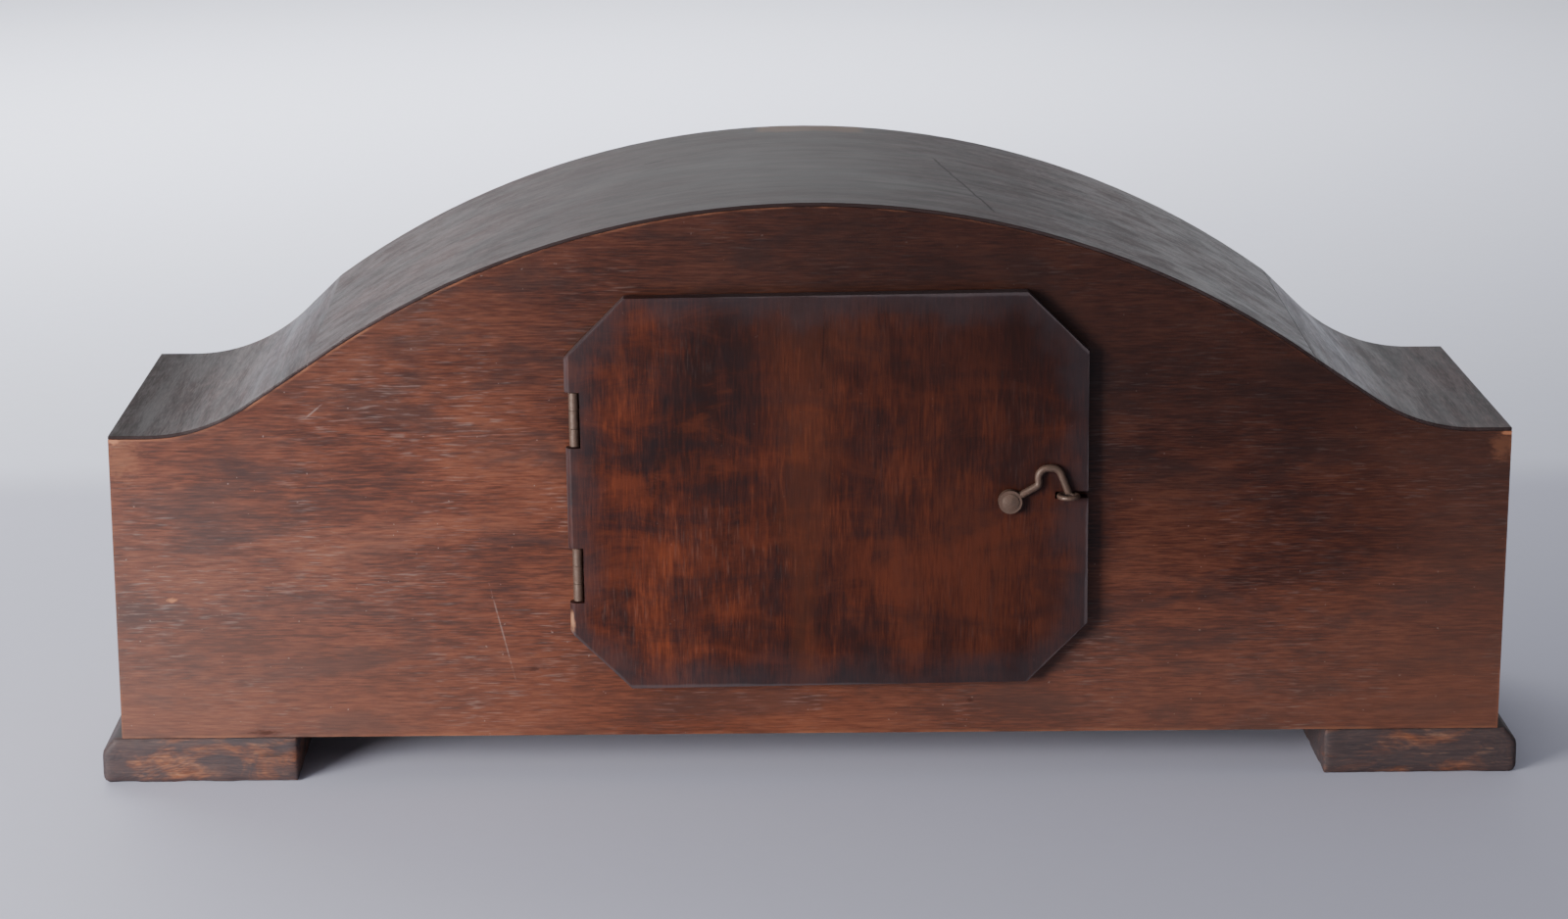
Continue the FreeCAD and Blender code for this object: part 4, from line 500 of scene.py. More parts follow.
@dataclass(frozen=True)
class PanelVeneer(WoodSkin):
    """The polished back panel with its wear and marks, painted shade and a partly painted sheen. Spans are
    in millimetres along x or z.
    """

    outline: HatOutline = field(kw_only=True)
    warm: Tone = field(kw_only=True)
    deep: Tone = field(kw_only=True)
    scratches: tuple[Mark, ...] = ()
    chips: tuple[Mark, ...] = ()
    stains: tuple[Mark, ...] = ()
    rubs: tuple[Mark, ...] = ()
    warm_low_z: Span = (18.0, 60.0)
    warm_sway: float = 90.0
    warm_end_x: Span = (-215.0, -150.0)
    grey_low_x: Span = (-110.0, 20.0)
    grey_low_z: Span = (35.0, 90.0)
    grey_end_x: Span = (-220.0, -170.0)
    dusty_x: Span = (20.0, 225.0)
    dusty_z: Span = (50.0, 150.0)
    dark_side_x: Span = (-110.0, 130.0)
    dark_side_z: Span = (30.0, 110.0)
    dark_crown_z: Span = (90.0, 175.0)
    bare_rim_x: Span = (-110.0, 60.0)
    skin: float = 1.2

    def material(self) -> Material:
        """Makes the material.

        Returns:
            The finish of the back panel.
        """
        sheet = Sheet("panel_veneer")
        fine, figure = self.fibres(sheet)
        self.clouded(sheet, figure)
        ragged = sheet.cloud((0.4, 0.4, 0.9), shift=3.0, detail=4.0, rough=0.65)
        self.marked(sheet, ragged, (self.stains, self.tones.dark, 0.8),
                    (self.scratches, self.tones.dust, 0.4), (self.chips, self.tones.worn, 0.9),
                    (self.rubs, self.tones.worn, 0.22))
        self.edges(sheet)
        rough = figure * 0.2 + fine * 0.1 + 0.26
        return sheet.close(rough, fine, 0.03, Specular_IOR_Level=0.28)

    def clouded(self, sheet: Sheet, figure: Value) -> None:
        """Warms and greys broad parts of the panel, lays a pale veil toward +x, partly dust and partly
        painted sheen, and paints shade toward -x and the top.

        Args:
            sheet: the shader.
            figure: the broad figure.
        """
        x, z = sheet.x, sheet.z
        low = (z + figure.swing(self.warm_sway)).fall(*self.warm_low_z)
        sheet.tint(self.warm, low * 0.22)
        sheet.tint(self.warm, x.fall(*self.warm_end_x) * 0.25)
        grey = x.fall(*self.grey_low_x) * z.fall(*self.grey_low_z) + x.fall(*self.grey_end_x)
        sheet.tint(self.tones.dust, grey.least(1.0) * 0.075)
        # pale grey veil toward +x and low down: partly dust, partly a painted sheen of reflected light
        sheet.tint(self.tones.dust, x.rise(*self.dusty_x) * z.fall(*self.dusty_z) * 0.12)
        # painted shade: darker toward -x and toward the top, where less light falls
        side = x.fall(*self.dark_side_x) * (z.rise(*self.dark_side_z) * 0.45 + 0.16)
        sheet.tint(self.deep, (side + z.rise(*self.dark_crown_z) * 0.45).least(0.8))

    def edges(self, sheet: Sheet) -> None:
        """Wears the polish off the panel's rim.

        Args:
            sheet: the shader.
        """
        wear = sheet.cloud(even(0.05), shift=14.0, detail=4.0, rough=0.65)
        bare = wear.rise(0.42, 0.62)
        top_share = sheet.x.rise(*self.bare_rim_x) * 0.34 + 0.06
        rims = ((self.outline.depth(sheet) - self.skin, 0.9, top_share),
                (self.outline.half_width - sheet.x.size(), 0.9, 0.2),
                (sheet.z - self.outline.foot_z, 1.2, 0.3))
        for gap, width, strength in rims:
            sheet.tint(self.tones.worn, gap.fall(0.1, width) * bare * strength)


@dataclass(frozen=True)
class EndVeneer(WoodSkin):
    """The polished front and ends, without the marks of the back."""

    def material(self) -> Material:
        """Makes the material.

        Returns:
            The finish of a clean board.
        """
        sheet = Sheet(f"end_veneer_{self.grain.name.lower()}")
        fine, figure = self.fibres(sheet)
        return sheet.close(figure * 0.14 + 0.26, fine, 0.02, Coat_Weight=0.2)


@dataclass(frozen=True)
class TopVeneer(WoodSkin):
    """The dark satin top, dusty and patchy along its back edge. Places are in millimetres."""

    bare: Tone = field(kw_only=True)
    haze: Tone = field(kw_only=True)
    back_y: float = field(kw_only=True)
    front_y: float = field(kw_only=True)
    dusty_depth: Span = (5.0, 11.0)
    dusty_sway: float = 24.0
    edge_depth: Span = (0.1, 0.5)
    crown_x: float = 20.0
    crown_dark: Span = (20.0, 120.0)
    crown_dull: Span = (20.0, 150.0)
    dark_end_x: Span = (178.0, 222.0)
    dull_end_x: Span = (176.0, 224.0)
    end_sway: float = 40.0
    bare_x: float = -2.0
    bare_half: Span = (16.0, 20.0)
    bare_depth: Span = (7.0, 12.0)
    bare_sway: float = 9.0
    crease_x: float = 161.0
    crease_half: Span = (0.2, 0.9)
    crack: Pair = (-50.5, 14.5)
    crack_lean: float = -0.24
    crack_half: Span = (30.0, 36.0)
    crack_width: Span = (0.25, 0.6)
    crack_sway: float = 3.0
    nick: Pair = (51.0, -21.0)
    nick_length: float = 4.0
    nick_rim: Span = (0.6, 1.2)

    def material(self) -> Material:
        """Makes the material.

        Returns:
            The finish of the top.
        """
        sheet = Sheet(f"top_veneer_{self.grain.name.lower()}")
        fine, figure = self.fibres(sheet)
        wear = sheet.cloud((0.045, 0.06, 0.045), shift=17.0, detail=5.0, rough=0.65)
        inset = self.back_y - sheet.y
        band = (inset + wear.swing(self.dusty_sway)).fall(*self.dusty_depth) * wear.rise(0.4, 0.6)
        sheet.tint(self.haze, band * 0.22)
        # painted shade: the crown of the arch is darker than its brighter-lit flanks
        painted_crown_shade = (sheet.x - self.crown_x).size().fall(*self.crown_dark)
        sheet.tint(self.tones.dark, painted_crown_shade * 0.7)
        dull = (sheet.x + wear.swing(self.end_sway)).rise(*self.dark_end_x)
        sheet.tint(self.tones.dark, dull * 0.8)
        sheet.tint(self.tones.dark, inset.fall(*self.edge_depth) * 0.8)
        near_front = (sheet.y - self.front_y + wear.swing(self.bare_sway)).fall(*self.bare_depth)
        patch = (sheet.x - self.bare_x).size().fall(*self.bare_half) * near_front
        sheet.tint(self.bare, patch * 0.85)
        # pale line along the crease: partly dust, partly a painted highlight
        crease = (sheet.x.size() - self.crease_x).size().fall(*self.crease_half)
        sheet.tint(self.haze, crease * wear.rise(0.3, 0.5) * 0.3)
        hurt = self.hurts(sheet, wear)
        sheet.tint(self.tones.dark, hurt * 0.9)
        lost = hurt.most(patch * 0.7).most(crease * 0.15)
        sheen = self.sheen(sheet, fine, wear) * (1.0 - lost)
        rough = figure * 0.2 + fine * 0.1 + dull * 0.36 + 0.3
        return sheet.close(rough, fine, 0.02, Specular_IOR_Level=0.12, Coat_Weight=sheen,
                           Coat_Roughness=0.3)

    def hurts(self, sheet: Sheet, wear: Value) -> Value:
        """Where the top is cracked or nicked.

        Args:
            sheet: the shader.
            wear: the noise of the worn places.

        Returns:
            1 in the crack and the nick.
        """
        ahead = sheet.y - self.crack[1]
        way = sheet.x - self.crack[0] - ahead * self.crack_lean
        line = (way + wear.swing(self.crack_sway)).size().fall(*self.crack_width)
        crack = line * ahead.size().fall(*self.crack_half)
        across, along = (sheet.x - self.nick[0]) / self.nick_length, sheet.y - self.nick[1]
        return crack.most((across * across + along * along).fall(*self.nick_rim))

    def sheen(self, sheet: Sheet, fine: Value, wear: Value) -> Value:
        """Where old polish still shines, in streaks along the grain.

        Args:
            sheet: the shader.
            fine: the fibre noise.
            wear: the noise of the worn places.

        Returns:
            The share of polish left.
        """
        streak = self.layer(sheet, Layer.SHEEN, self.grain.stretch(0.012, 0.16), 5.0, 0.68, 0.3)
        left = (streak * 0.65 + fine * 0.3 + wear * 0.3).rise(0.48, 0.77)
        flank = (sheet.x - self.crown_x).size().rise(*self.crown_dull) * 0.7 + 0.1
        dull = (sheet.x.size() + wear.swing(self.end_sway)).rise(*self.dull_end_x) * 0.52
        return (left * 0.75 + 0.2) * flank * (1.0 - dull)


@dataclass(frozen=True)
class DoorVeneer(WoodSkin):
    """The darker door: fine upright grain, dark blotches and a greyish bloom toward its edges."""

    centre: Pair = field(kw_only=True)
    half: Pair = field(kw_only=True)
    bloom: Tone = field(kw_only=True)
    glint: Tone = field(kw_only=True)
    ray: Tone = field(kw_only=True)
    corner: float = 19.5
    splinters: tuple[Mark, ...] = ()
    cracks: tuple[Mark, ...] = ()
    bright_x: Span = (10.0, 70.0)
    ray_foot: Pair = (2.0, 40.0)
    ray_least_rise: float = 20.0
    ray_widening: float = 0.012
    ray_width: float = 0.3
    ray_sway: float = 24.0
    ray_half: Span = (2.0, 12.0)
    dark_side_x: Span = (-60.0, 70.0)
    dark_top_z: Span = (110.0, 160.0)
    bloom_sway: float = 22.0
    bloom_depth: Span = (0.0, 14.0)
    glint_sway: float = 1.6
    glint_depth: Span = (0.1, 0.8)

    def material(self) -> Material:
        """Makes the material.

        Returns:
            The finish of the door.
        """
        sheet = Sheet("door_veneer")
        fine, figure = self.fibres(sheet)
        self.blotched(sheet, figure)
        haze = self.rimmed(sheet)
        ragged = sheet.cloud((0.5, 0.5, 0.25), shift=5.0, detail=3.0, rough=0.6)
        self.marked(sheet, ragged, (self.splinters, self.tones.worn, 0.9),
                    (self.cracks, self.tones.dark, 0.9))
        rough = figure * 0.18 + haze * 0.08 + fine * 0.08 + 0.26
        return sheet.close(rough, fine, 0.03, Specular_IOR_Level=0.19)

    def blotched(self, sheet: Sheet, figure: Value) -> None:
        """Lays dark and bright blotches, a warm ray up the middle, and a painted shade toward -x and the
        top.

        Args:
            sheet: the shader.
            figure: the broad figure.
        """
        ripple = sheet.cloud((0.03, 0.03, 0.085), shift=51.0, detail=6.0, rough=0.68, warp=0.5)
        sheet.tint(self.tones.soot, ripple.rise(0.44, 0.68) * 0.5)
        sheet.tint(self.tones.bright, ripple.fall(0.32, 0.5) * 0.35)
        bright = sheet.x.rise(*self.bright_x) * ripple.fall(0.4, 0.6)
        sheet.tint(self.tones.bright, bright * 0.22)
        rise = (sheet.z - self.ray_foot[1]).most(self.ray_least_rise)
        fan = (sheet.x - self.ray_foot[0]) / (rise * self.ray_widening + self.ray_width)
        beam = (fan + figure.swing(self.ray_sway)).size().fall(*self.ray_half)
        sheet.tint(self.ray, beam * 0.3)
        # painted shade: darker toward -x and toward the top
        painted_shade = sheet.x.fall(*self.dark_side_x) * 0.68 + sheet.z.rise(*self.dark_top_z) * 0.3
        sheet.tint(sheet.blend(sheet.tone, self.tones.dark, 0.8), painted_shade)

    def rimmed(self, sheet: Sheet) -> Value:
        """Adds the greyish bloom along the edges and the glint of the edge itself.

        Args:
            sheet: the shader.

        Returns:
            The bloom.
        """
        across = self.half[0] - (sheet.x - self.centre[0]).size()
        up = self.half[1] - (sheet.z - self.centre[1]).size()
        rim = across.least(up).least((across + up - self.corner) * DIAGONAL)
        wear = sheet.cloud(even(0.06), shift=57.0, detail=4.0, rough=0.62)
        haze = (rim + wear.swing(self.bloom_sway)).fall(*self.bloom_depth)
        sheet.tint(self.bloom, haze * 0.6)
        edge = (rim + wear.swing(self.glint_sway)).fall(*self.glint_depth)
        sheet.tint(self.glint, edge * 0.35)
        return haze


@dataclass(frozen=True)
class EndGrain(WoodSkin):
    """A foot cut across the tree: rings, an orange body and a dark stain."""

    stain: Tone = field(kw_only=True)
    heart: Pair = field(kw_only=True)
    stained: float = field(kw_only=True)
    name: str = field(kw_only=True)
    ring_rate: float = 3.4
    ring_sway: float = 14.0
    outer_x: Span = (218.0, 230.0)

    def material(self) -> Material:
        """Makes the material.

        Returns:
            The finish of one foot.
        """
        sheet = Sheet(self.name)
        fine, figure = self.fibres(sheet)
        dx, dz = sheet.x - self.heart[0], sheet.z - self.heart[1]
        sway = self.layer(sheet, Layer.SWAY, (0.05, 0.02, 0.16), 4.0, 0.6)
        reach = (dx * dx + dz * dz).root() + sway.swing(self.ring_sway)
        ring = reach.wave(self.ring_rate) * sway.rise(0.3, 0.6)
        sheet.tint(self.stain, ring * 0.45)
        patch = self.layer(sheet, Layer.PATCH, (0.045, 0.05, 0.095), 5.0, 0.62, 0.8)
        outer = sheet.x.size().rise(*self.outer_x) * 0.14
        sheet.tint(self.stain, (patch + self.stained + outer).rise(0.39, 0.63) * 0.85)
        fleck = self.layer(sheet, Layer.FLECK, (0.12, 0.3, 0.6), 3.0, 0.6).rise(0.58, 0.7)
        sheet.tint(self.tones.worn, fleck * patch.fall(0.4, 0.6) * 0.22)
        sheet.tint(self.tones.dust, fine * 0.13)
        relief = fine * 0.6 + ring * 0.4
        return sheet.close(figure * 0.15 + 0.5, relief, 0.12, Specular_IOR_Level=0.2)


@dataclass(frozen=True)
class AgedIron:
    """Dull brown-grey iron with a little rust."""

    metal: Tone = (0.112, 0.076, 0.058)
    rust: Tone = (0.062, 0.027, 0.0155)

    def material(self) -> Material:
        """Makes the material.

        Returns:
            The finish of the ironwork.
        """
        sheet = Sheet("aged_iron", self.metal)
        spots = sheet.cloud(even(0.35), shift=2.0, detail=5.0, rough=0.65)
        fine = sheet.cloud(even(2.2), shift=8.0, detail=3.0, rough=0.6)
        share = (spots * 0.6 + fine * 0.4).rise(0.38, 0.6)
        sheet.tint(self.rust, share * 0.75)
        return sheet.close(share * 0.25 + 0.42, fine, 0.05, Metallic=0.7 - share * 0.55)


@dataclass(frozen=True)
class PlainMetal:
    """Polished or brushed metal with fine turning marks and a little tarnish."""

    name: str
    tone: Tone
    tarnish: Tone
    rough: float
    brush: Grain = Grain.ALONG_X
    spread: float = 0.12

    def material(self) -> Material:
        """Makes the material.

        Returns:
            The finish of one metal.
        """
        sheet = Sheet(self.name, self.tone)
        lines = sheet.cloud(self.brush.stretch(0.05, 3.0), shift=4.0, detail=3.0, rough=0.6)
        age = sheet.cloud(even(0.09), shift=12.0, detail=4.0, rough=0.6).rise(0.45, 0.75)
        sheet.tint(self.tarnish, age * 0.55)
        rough = lines * self.spread + age * 0.14 + self.rough
        return sheet.close(rough, lines, 0.012, Metallic=1.0)


@dataclass(frozen=True)
class SilveredDial:
    """A silvered disc, matt, with circular graining and a soft yellowing."""

    centre_z: float
    silver: Tone = (0.63, 0.62, 0.585)
    aged: Tone = (0.47, 0.42, 0.33)
    ring_rate: float = 9.0
    aged_rim: Span = (48.0, 66.0)

    def material(self) -> Material:
        """Makes the material.

        Returns:
            The finish of the dial.
        """
        sheet = Sheet("silvered_dial", self.silver)
        dz = sheet.z - self.centre_z
        reach = (sheet.x * sheet.x + dz * dz).root()
        rings = reach.wave(self.ring_rate)
        age = sheet.cloud(even(0.05), shift=6.0, detail=5.0, rough=0.6).rise(0.4, 0.75)
        share = (age * 0.45 + reach.rise(*self.aged_rim) * 0.3).least(1.0)
        sheet.tint(self.aged, share)
        return sheet.close(rings * 0.06 + 0.4, rings, 0.006, Metallic=0.35)


@dataclass(frozen=True)
class DialInk:
    """Black dial print, slightly thin in places."""

    full: Tone = (0.012, 0.012, 0.014)
    thin: Tone = (0.05, 0.05, 0.05)

    def material(self) -> Material:
        """Makes the material.

        Returns:
            The finish of the print.
        """
        sheet = Sheet("dial_ink", self.full)
        wear = sheet.cloud(even(0.8), shift=3.0, detail=3.0, rough=0.6)
        sheet.tint(self.thin, wear.rise(0.5, 0.8))
        return sheet.close(wear * 0.1 + 0.45)


@dataclass(frozen=True)
class ClearGlass:
    """The domed glass, faintly dusty."""

    tint: Tone = (0.95, 0.97, 0.96)
    bending: float = 1.46

    def material(self) -> Material:
        """Makes the material.

        Returns:
            The finish of the glass.
        """
        sheet = Sheet("clear_glass", self.tint)
        dust = sheet.cloud(even(0.12), shift=5.0, detail=4.0, rough=0.6).rise(0.5, 0.85)
        rough = dust * 0.06 + 0.02
        return sheet.close(rough, Transmission_Weight=1.0, IOR=self.bending)


def placed(name: str, data: Any) -> Object:
    """Puts a new object in the scene.

    Args:
        name: the object's name.
        data: its mesh, curve, light or camera.

    Returns:
        The object.
    """
    made = bpy.data.objects.new(name, data)
    bpy.context.scene.collection.objects.link(made)
    return made


class Bench:
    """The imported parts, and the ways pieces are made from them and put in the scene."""

    JOIN_DISTANCE = 0.002 * MM
    FLAT_ANGLE = math.radians(0.4)
    SHARP_ANGLE = math.radians(32.0)

    def __init__(self, frame: Mapping[str, Any]) -> None:
        """Keeps the nodes of the loaded frame."""
        self.nodes: Mapping[str, Object] = frame["nodes"]

    def paint(self, material: Material, *names: str) -> None:
        """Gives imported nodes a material.

        Args:
            material: the finish.
            names: the nodes.
        """
        for name in names:
            slots = self.nodes[name].data.materials
            slots.clear()
            slots.append(material)
            LOG.info("painted %s with %s", name, material.name)

    def piece(self, name: str, mesh: Mesh, body: str, slot: str,
              material: Material, *replaced: str) -> Object:
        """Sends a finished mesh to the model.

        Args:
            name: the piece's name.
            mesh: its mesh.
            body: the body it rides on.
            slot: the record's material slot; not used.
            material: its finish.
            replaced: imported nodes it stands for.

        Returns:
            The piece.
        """
        mesh.name = name
        mesh.materials.clear()
        mesh.materials.append(material)
        made = placed(name, mesh)
        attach(made, body)
        if replaced:
            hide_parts(*replaced)
        LOG.info("piece %s on %s, %d faces", name, body, len(mesh.polygons))
        return made

    def outline(self, name: str) -> bmesh.types.BMesh:
        """A node's mesh with its triangles joined into whole faces.

        Args:
            name: the node.

        Returns:
            The joined mesh.
        """
        shape = bmesh.new()
        shape.from_mesh(self.nodes[name].data)
        bmesh.ops.remove_doubles(shape, verts=shape.verts, dist=self.JOIN_DISTANCE)
        bmesh.ops.dissolve_limit(shape, angle_limit=self.FLAT_ANGLE, verts=shape.verts, edges=shape.edges)
        return shape

    def softened(self, name: str, width: float, segments: int = 2) -> Mesh:
        """A node's shape with its sharp edges eased.

        Args:
            name: the node.
            width: the easing in millimetres.
            segments: faces across each eased edge.

        Returns:
            The mesh.
        """
        shape = self.outline(name)
        sharp = [edge for edge in shape.edges
                 if len(edge.link_faces) == 2 and edge.calc_face_angle() > self.SHARP_ANGLE]
        bmesh.ops.bevel(shape, geom=sharp, offset=width * MM, segments=segments, profile=0.5,
                        affect="EDGES", clamp_overlap=True)
        mesh = bpy.data.meshes.new(name)
        shape.to_mesh(mesh)
        shape.free()
        return settled(mesh)


def settled(mesh: Mesh, angle: float = 40.0) -> Mesh:
    """Shades a mesh smooth with flat faces kept flat.

    Args:
        mesh: the mesh.
        angle: edges sharper than this stay sharp, in degrees.

    Returns:
        The shaded mesh.
    """
    mesh.shade_smooth()
    mesh.set_sharp_from_angle(angle=math.radians(angle))
    holder = placed("holder", mesh)
    weights = holder.modifiers.new("weights", "WEIGHTED_NORMAL")
    weights.keep_sharp = True
    return taken(holder)


def taken(holder: Object) -> Mesh:
    """The holder's evaluated mesh, with the holder removed.

    Args:
        holder: an object with modifiers.

    Returns:
        A plain mesh.
    """
    bpy.context.view_layer.update()
    graph = bpy.context.evaluated_depsgraph_get()
    mesh = bpy.data.meshes.new_from_object(holder.evaluated_get(graph), depsgraph=graph)
    bpy.data.objects.remove(holder)
    return mesh


@dataclass
class RingOfBars:
    """Bars round a circle, made by a node tree: dial divisions or the ribs of a nut."""

    name: str
    count: int
    radius: float
    length: float
    width: float
    depth: float

    def mesh(self, material: Material, place: Matrix) -> Mesh:
        """Builds the ring.

        Args:
            material: the bars' finish.
            place: where the ring goes, in metres.

        Returns:
            A plain mesh.
        """
        tree = bpy.data.node_groups.new(self.name, "GeometryNodeTree")
        sockets = {}
        for label, kind in (("Count", "NodeSocketInt"), ("Radius", "NodeSocketFloat"),
                            ("Bar Size", "NodeSocketVector")):
            sockets[label] = tree.interface.new_socket(label, in_out="INPUT", socket_type=kind).identifier
        tree.interface.new_socket("Ring", in_out="OUTPUT", socket_type="NodeSocketGeometry")
        graph = Graph(tree)
        given = graph.node("NodeGroupInput").outputs
        corners = {"Vertices": given["Count"], "Radius": given["Radius"]}
        circle = graph.node("GeometryNodeMeshCircle", {}, corners).outputs["Mesh"]
        bar = graph.node("GeometryNodeMeshCube", {}, {"Size": given["Bar Size"]}).outputs["Mesh"]
        index = graph.node("GeometryNodeInputIndex").outputs[0]
        share = graph.node("ShaderNodeMath", {"operation": "DIVIDE"}, {0: index, 1: given["Count"]})
        turn = graph.node("ShaderNodeMath", {"operation": "MULTIPLY"}, {0: share.outputs[0], 1: math.tau})
        spin = graph.node("ShaderNodeCombineXYZ", {}, {"Z": turn.outputs[0]}).outputs[0]
        copies = {"Points": circle, "Instance": bar, "Rotation": spin}
        lay = graph.node("GeometryNodeInstanceOnPoints", {}, copies)
        real = graph.node("GeometryNodeRealizeInstances", {}, {0: lay.outputs[0]})
        painted = {"Geometry": real.outputs[0], "Material": material}
        paint = graph.node("GeometryNodeSetMaterial", {}, painted)
        graph.node("NodeGroupOutput", {}, {0: paint.outputs[0]})
        holder = placed(self.name, bpy.data.meshes.new(self.name))
        modifier = holder.modifiers.new(self.name, "NODES")
        modifier.node_group = tree
        modifier[sockets["Count"]] = self.count
        modifier[sockets["Radius"]] = self.radius * MM
        modifier[sockets["Bar Size"]] = (self.length * MM, self.width * MM, self.depth * MM)
        mesh = taken(holder)
        mesh.transform(place)
        return mesh


@dataclass
class SubAssembly:
    """A group of pieces made at the bench."""

    bench: Bench
    finishes: Mapping[str, Material]

    def paint(self, finish: str, *nodes: str) -> None:
        """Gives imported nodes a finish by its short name."""
        self.bench.paint(self.finishes[finish], *nodes)


@dataclass
class CaseWork(SubAssembly):
    """The wooden case: panels, top skins, base and feet, in millimetres."""

    foot_cell: float = 1.1
    foot_wear: float = 0.9
    edge_reach: float = 3.0
    least_knock: float = 0.35
    knock_bias: float = 0.1
    knock_rate: float = 90.0
    knock_shape: tuple[float, float, int] = (0.9, 2.0, 3)
    smoothing: float = 0.4

    def build(self) -> None:
        """Builds the eased boards and worn feet."""
        boards = (("board_back", "back_panel", "panel", "case_veneer", 0.35),
                  ("board_front", "front_panel", "front", "case_veneer", 0.5),
                  ("board_left", "left_end_panel", "ends", "case_veneer", 0.5),
                  ("board_right", "right_end_panel", "ends", "case_veneer", 0.5),
                  ("skin_arch", "top_arch", "arch", "top_veneer", 0.3),
                  ("skin_left", "left_shoulder", "shoulder", "top_veneer", 0.3),
                  ("skin_right", "right_shoulder", "shoulder", "top_veneer", 0.3))
        for name, node, finish, slot, ease in boards:
            mesh = self.bench.softened(node, ease)
            self.bench.piece(name, mesh, "case", slot, self.finishes[finish], node)
        for side in ("left", "right"):
            node = f"{side}_foot"
            mesh = self.worn_foot(node)
            self.bench.piece(f"block_{side}_foot", mesh, "case", "solid_wood", self.finishes[node], node)

    def worn_foot(self, node: str) -> Mesh:
        """A foot with knocked and rounded edges.

        Args:
            node: the foot's node.

        Returns:
            The mesh.
        """
        low, high = (Vector(corner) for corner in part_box(node))
        shape = self.bench.outline(node)
        rough = bpy.data.meshes.new(node)
        shape.to_mesh(rough)
        shape.free()
        holder = placed(node, rough)
        cells = holder.modifiers.new("cells", "REMESH")
        cells.mode = "VOXEL"
        cells.voxel_size = self.foot_cell * MM
        mesh = taken(holder)
        shape = bmesh.new()
        shape.from_mesh(mesh)
        shape.normal_update()
        moves = []
        for vertex in shape.verts:
            gaps = sorted(min(abs(vertex.co[k] - low[k]), abs(vertex.co[k] - high[k])) for k in range(3))
            near = max(0.0, 1.0 - gaps[1] / (self.edge_reach * MM))
            swell = noise.fractal(vertex.co * self.knock_rate, *self.knock_shape)
            knock = self.least_knock + max(0.0, swell + self.knock_bias)
            moves.append((vertex, vertex.normal * (near * near * knock * self.foot_wear * MM)))
        for vertex, move in moves:
            vertex.co = [min(max(vertex.co[k] - move[k], low[k]), high[k]) for k in range(3)]
        bmesh.ops.smooth_vert(shape, verts=shape.verts, factor=self.smoothing, use_axis_x=True,
                              use_axis_y=True, use_axis_z=True)
        shape.to_mesh(mesh)
        shape.free()
        mesh.shade_smooth()
        return mesh

    def dress(self) -> None:
        """Paints the case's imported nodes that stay."""
        self.paint("ends", "base_board")
        self.paint("raw", "glue_blocks")
        self.paint("iron", "foot_screws", "movement_screws")


@dataclass
class BackDoor(SubAssembly):
    """The octagonal door with its hinges, hook and eye."""

    ease: float = 0.7
    ease_faces: int = 3

    def build(self) -> None:
        """Builds the eased door board."""
        mesh = self.bench.softened("back_door", self.ease, self.ease_faces)
        self.bench.piece("board_door", mesh, "door", "door_wood", self.finishes["door"], "back_door")

    def dress(self) -> None:
        """Paints the ironwork."""
        self.paint("iron", "hinge_frame_leaves", "hinge_door_leaves", "hinge_pins", "hinge_frame_screws",
                   "hinge_door_screws", "latch_hook", "latch_pivot_screw", "latch_eye")


@dataclass
class DialFace(SubAssembly):
    """The dial with its printed numbers and minute track, in millimetres and degrees."""

    numeral_radius: float = 50.0
    numeral_height: float = 11.5
    em_share: float = 1.35
    hour_turn: float = 30.0
    track_radius: float = 58.3
    tracks: tuple[tuple[str, int, float, float], ...] = (("minute_track", 60, 2.2, 0.5),
                                                         ("hour_track", 12, 3.6, 1.2))
    print_depth: float = 0.06

    def build(self) -> None:
        """Prints the dial."""
        low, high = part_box("dial_plate")
        middle = Vector((0.0, low[1], (low[2] + high[2]) / 2.0))
        upright = Matrix.Rotation(math.radians(90.0), 4, "X")
        facing = Matrix.Translation(middle - Vector((0.0, self.print_depth * MM, 0.0))) @ upright
        ink = self.finishes["ink"]
        numbers = self.numerals()
        numbers.transform(facing)
        self.bench.piece("dial_numbers", numbers, "case", "blued_hands", ink)
        for name, count, length, width in self.tracks:
            bars = RingOfBars(name, count, self.track_radius, length, width, self.print_depth)
            self.bench.piece(name, bars.mesh(ink, facing), "case", "blued_hands", ink)

    def numerals(self) -> Mesh:
        """Writes the twelve numbers.

        Returns:
            One flat mesh facing +Z.
        """
        shape = bmesh.new()
        for hour in range(1, 13):
            curve = bpy.data.curves.new(f"hour_{hour}", "FONT")
            curve.body = str(hour)
            curve.size = self.numeral_height * self.em_share * MM
            curve.align_x = "CENTER"
            curve.align_y = "CENTER"
            curve.extrude = self.print_depth * MM / 2.0
            mesh = taken(placed(curve.name, curve))
            bpy.data.curves.remove(curve)
            turn = math.radians(self.hour_turn * hour)
            reach = self.numeral_radius * MM
            mesh.transform(Matrix.Translation((reach * math.sin(turn), reach * math.cos(turn), 0.0)))
            shape.from_mesh(mesh)
            bpy.data.meshes.remove(mesh)
        joined = bpy.data.meshes.new("dial_numbers")
        shape.to_mesh(joined)
        shape.free()
        return joined

    def dress(self) -> None:
        """Paints the dial, bezel, glass and hands."""
        self.paint("dial", "dial_plate")
        self.paint("bezel", "bezel_ring", "dial_ring", "bezel_knob", "bezel_hinge_pin")
        self.paint("glass", "bezel_glass")
        self.paint("blued", "hour_hand", "minute_hand")


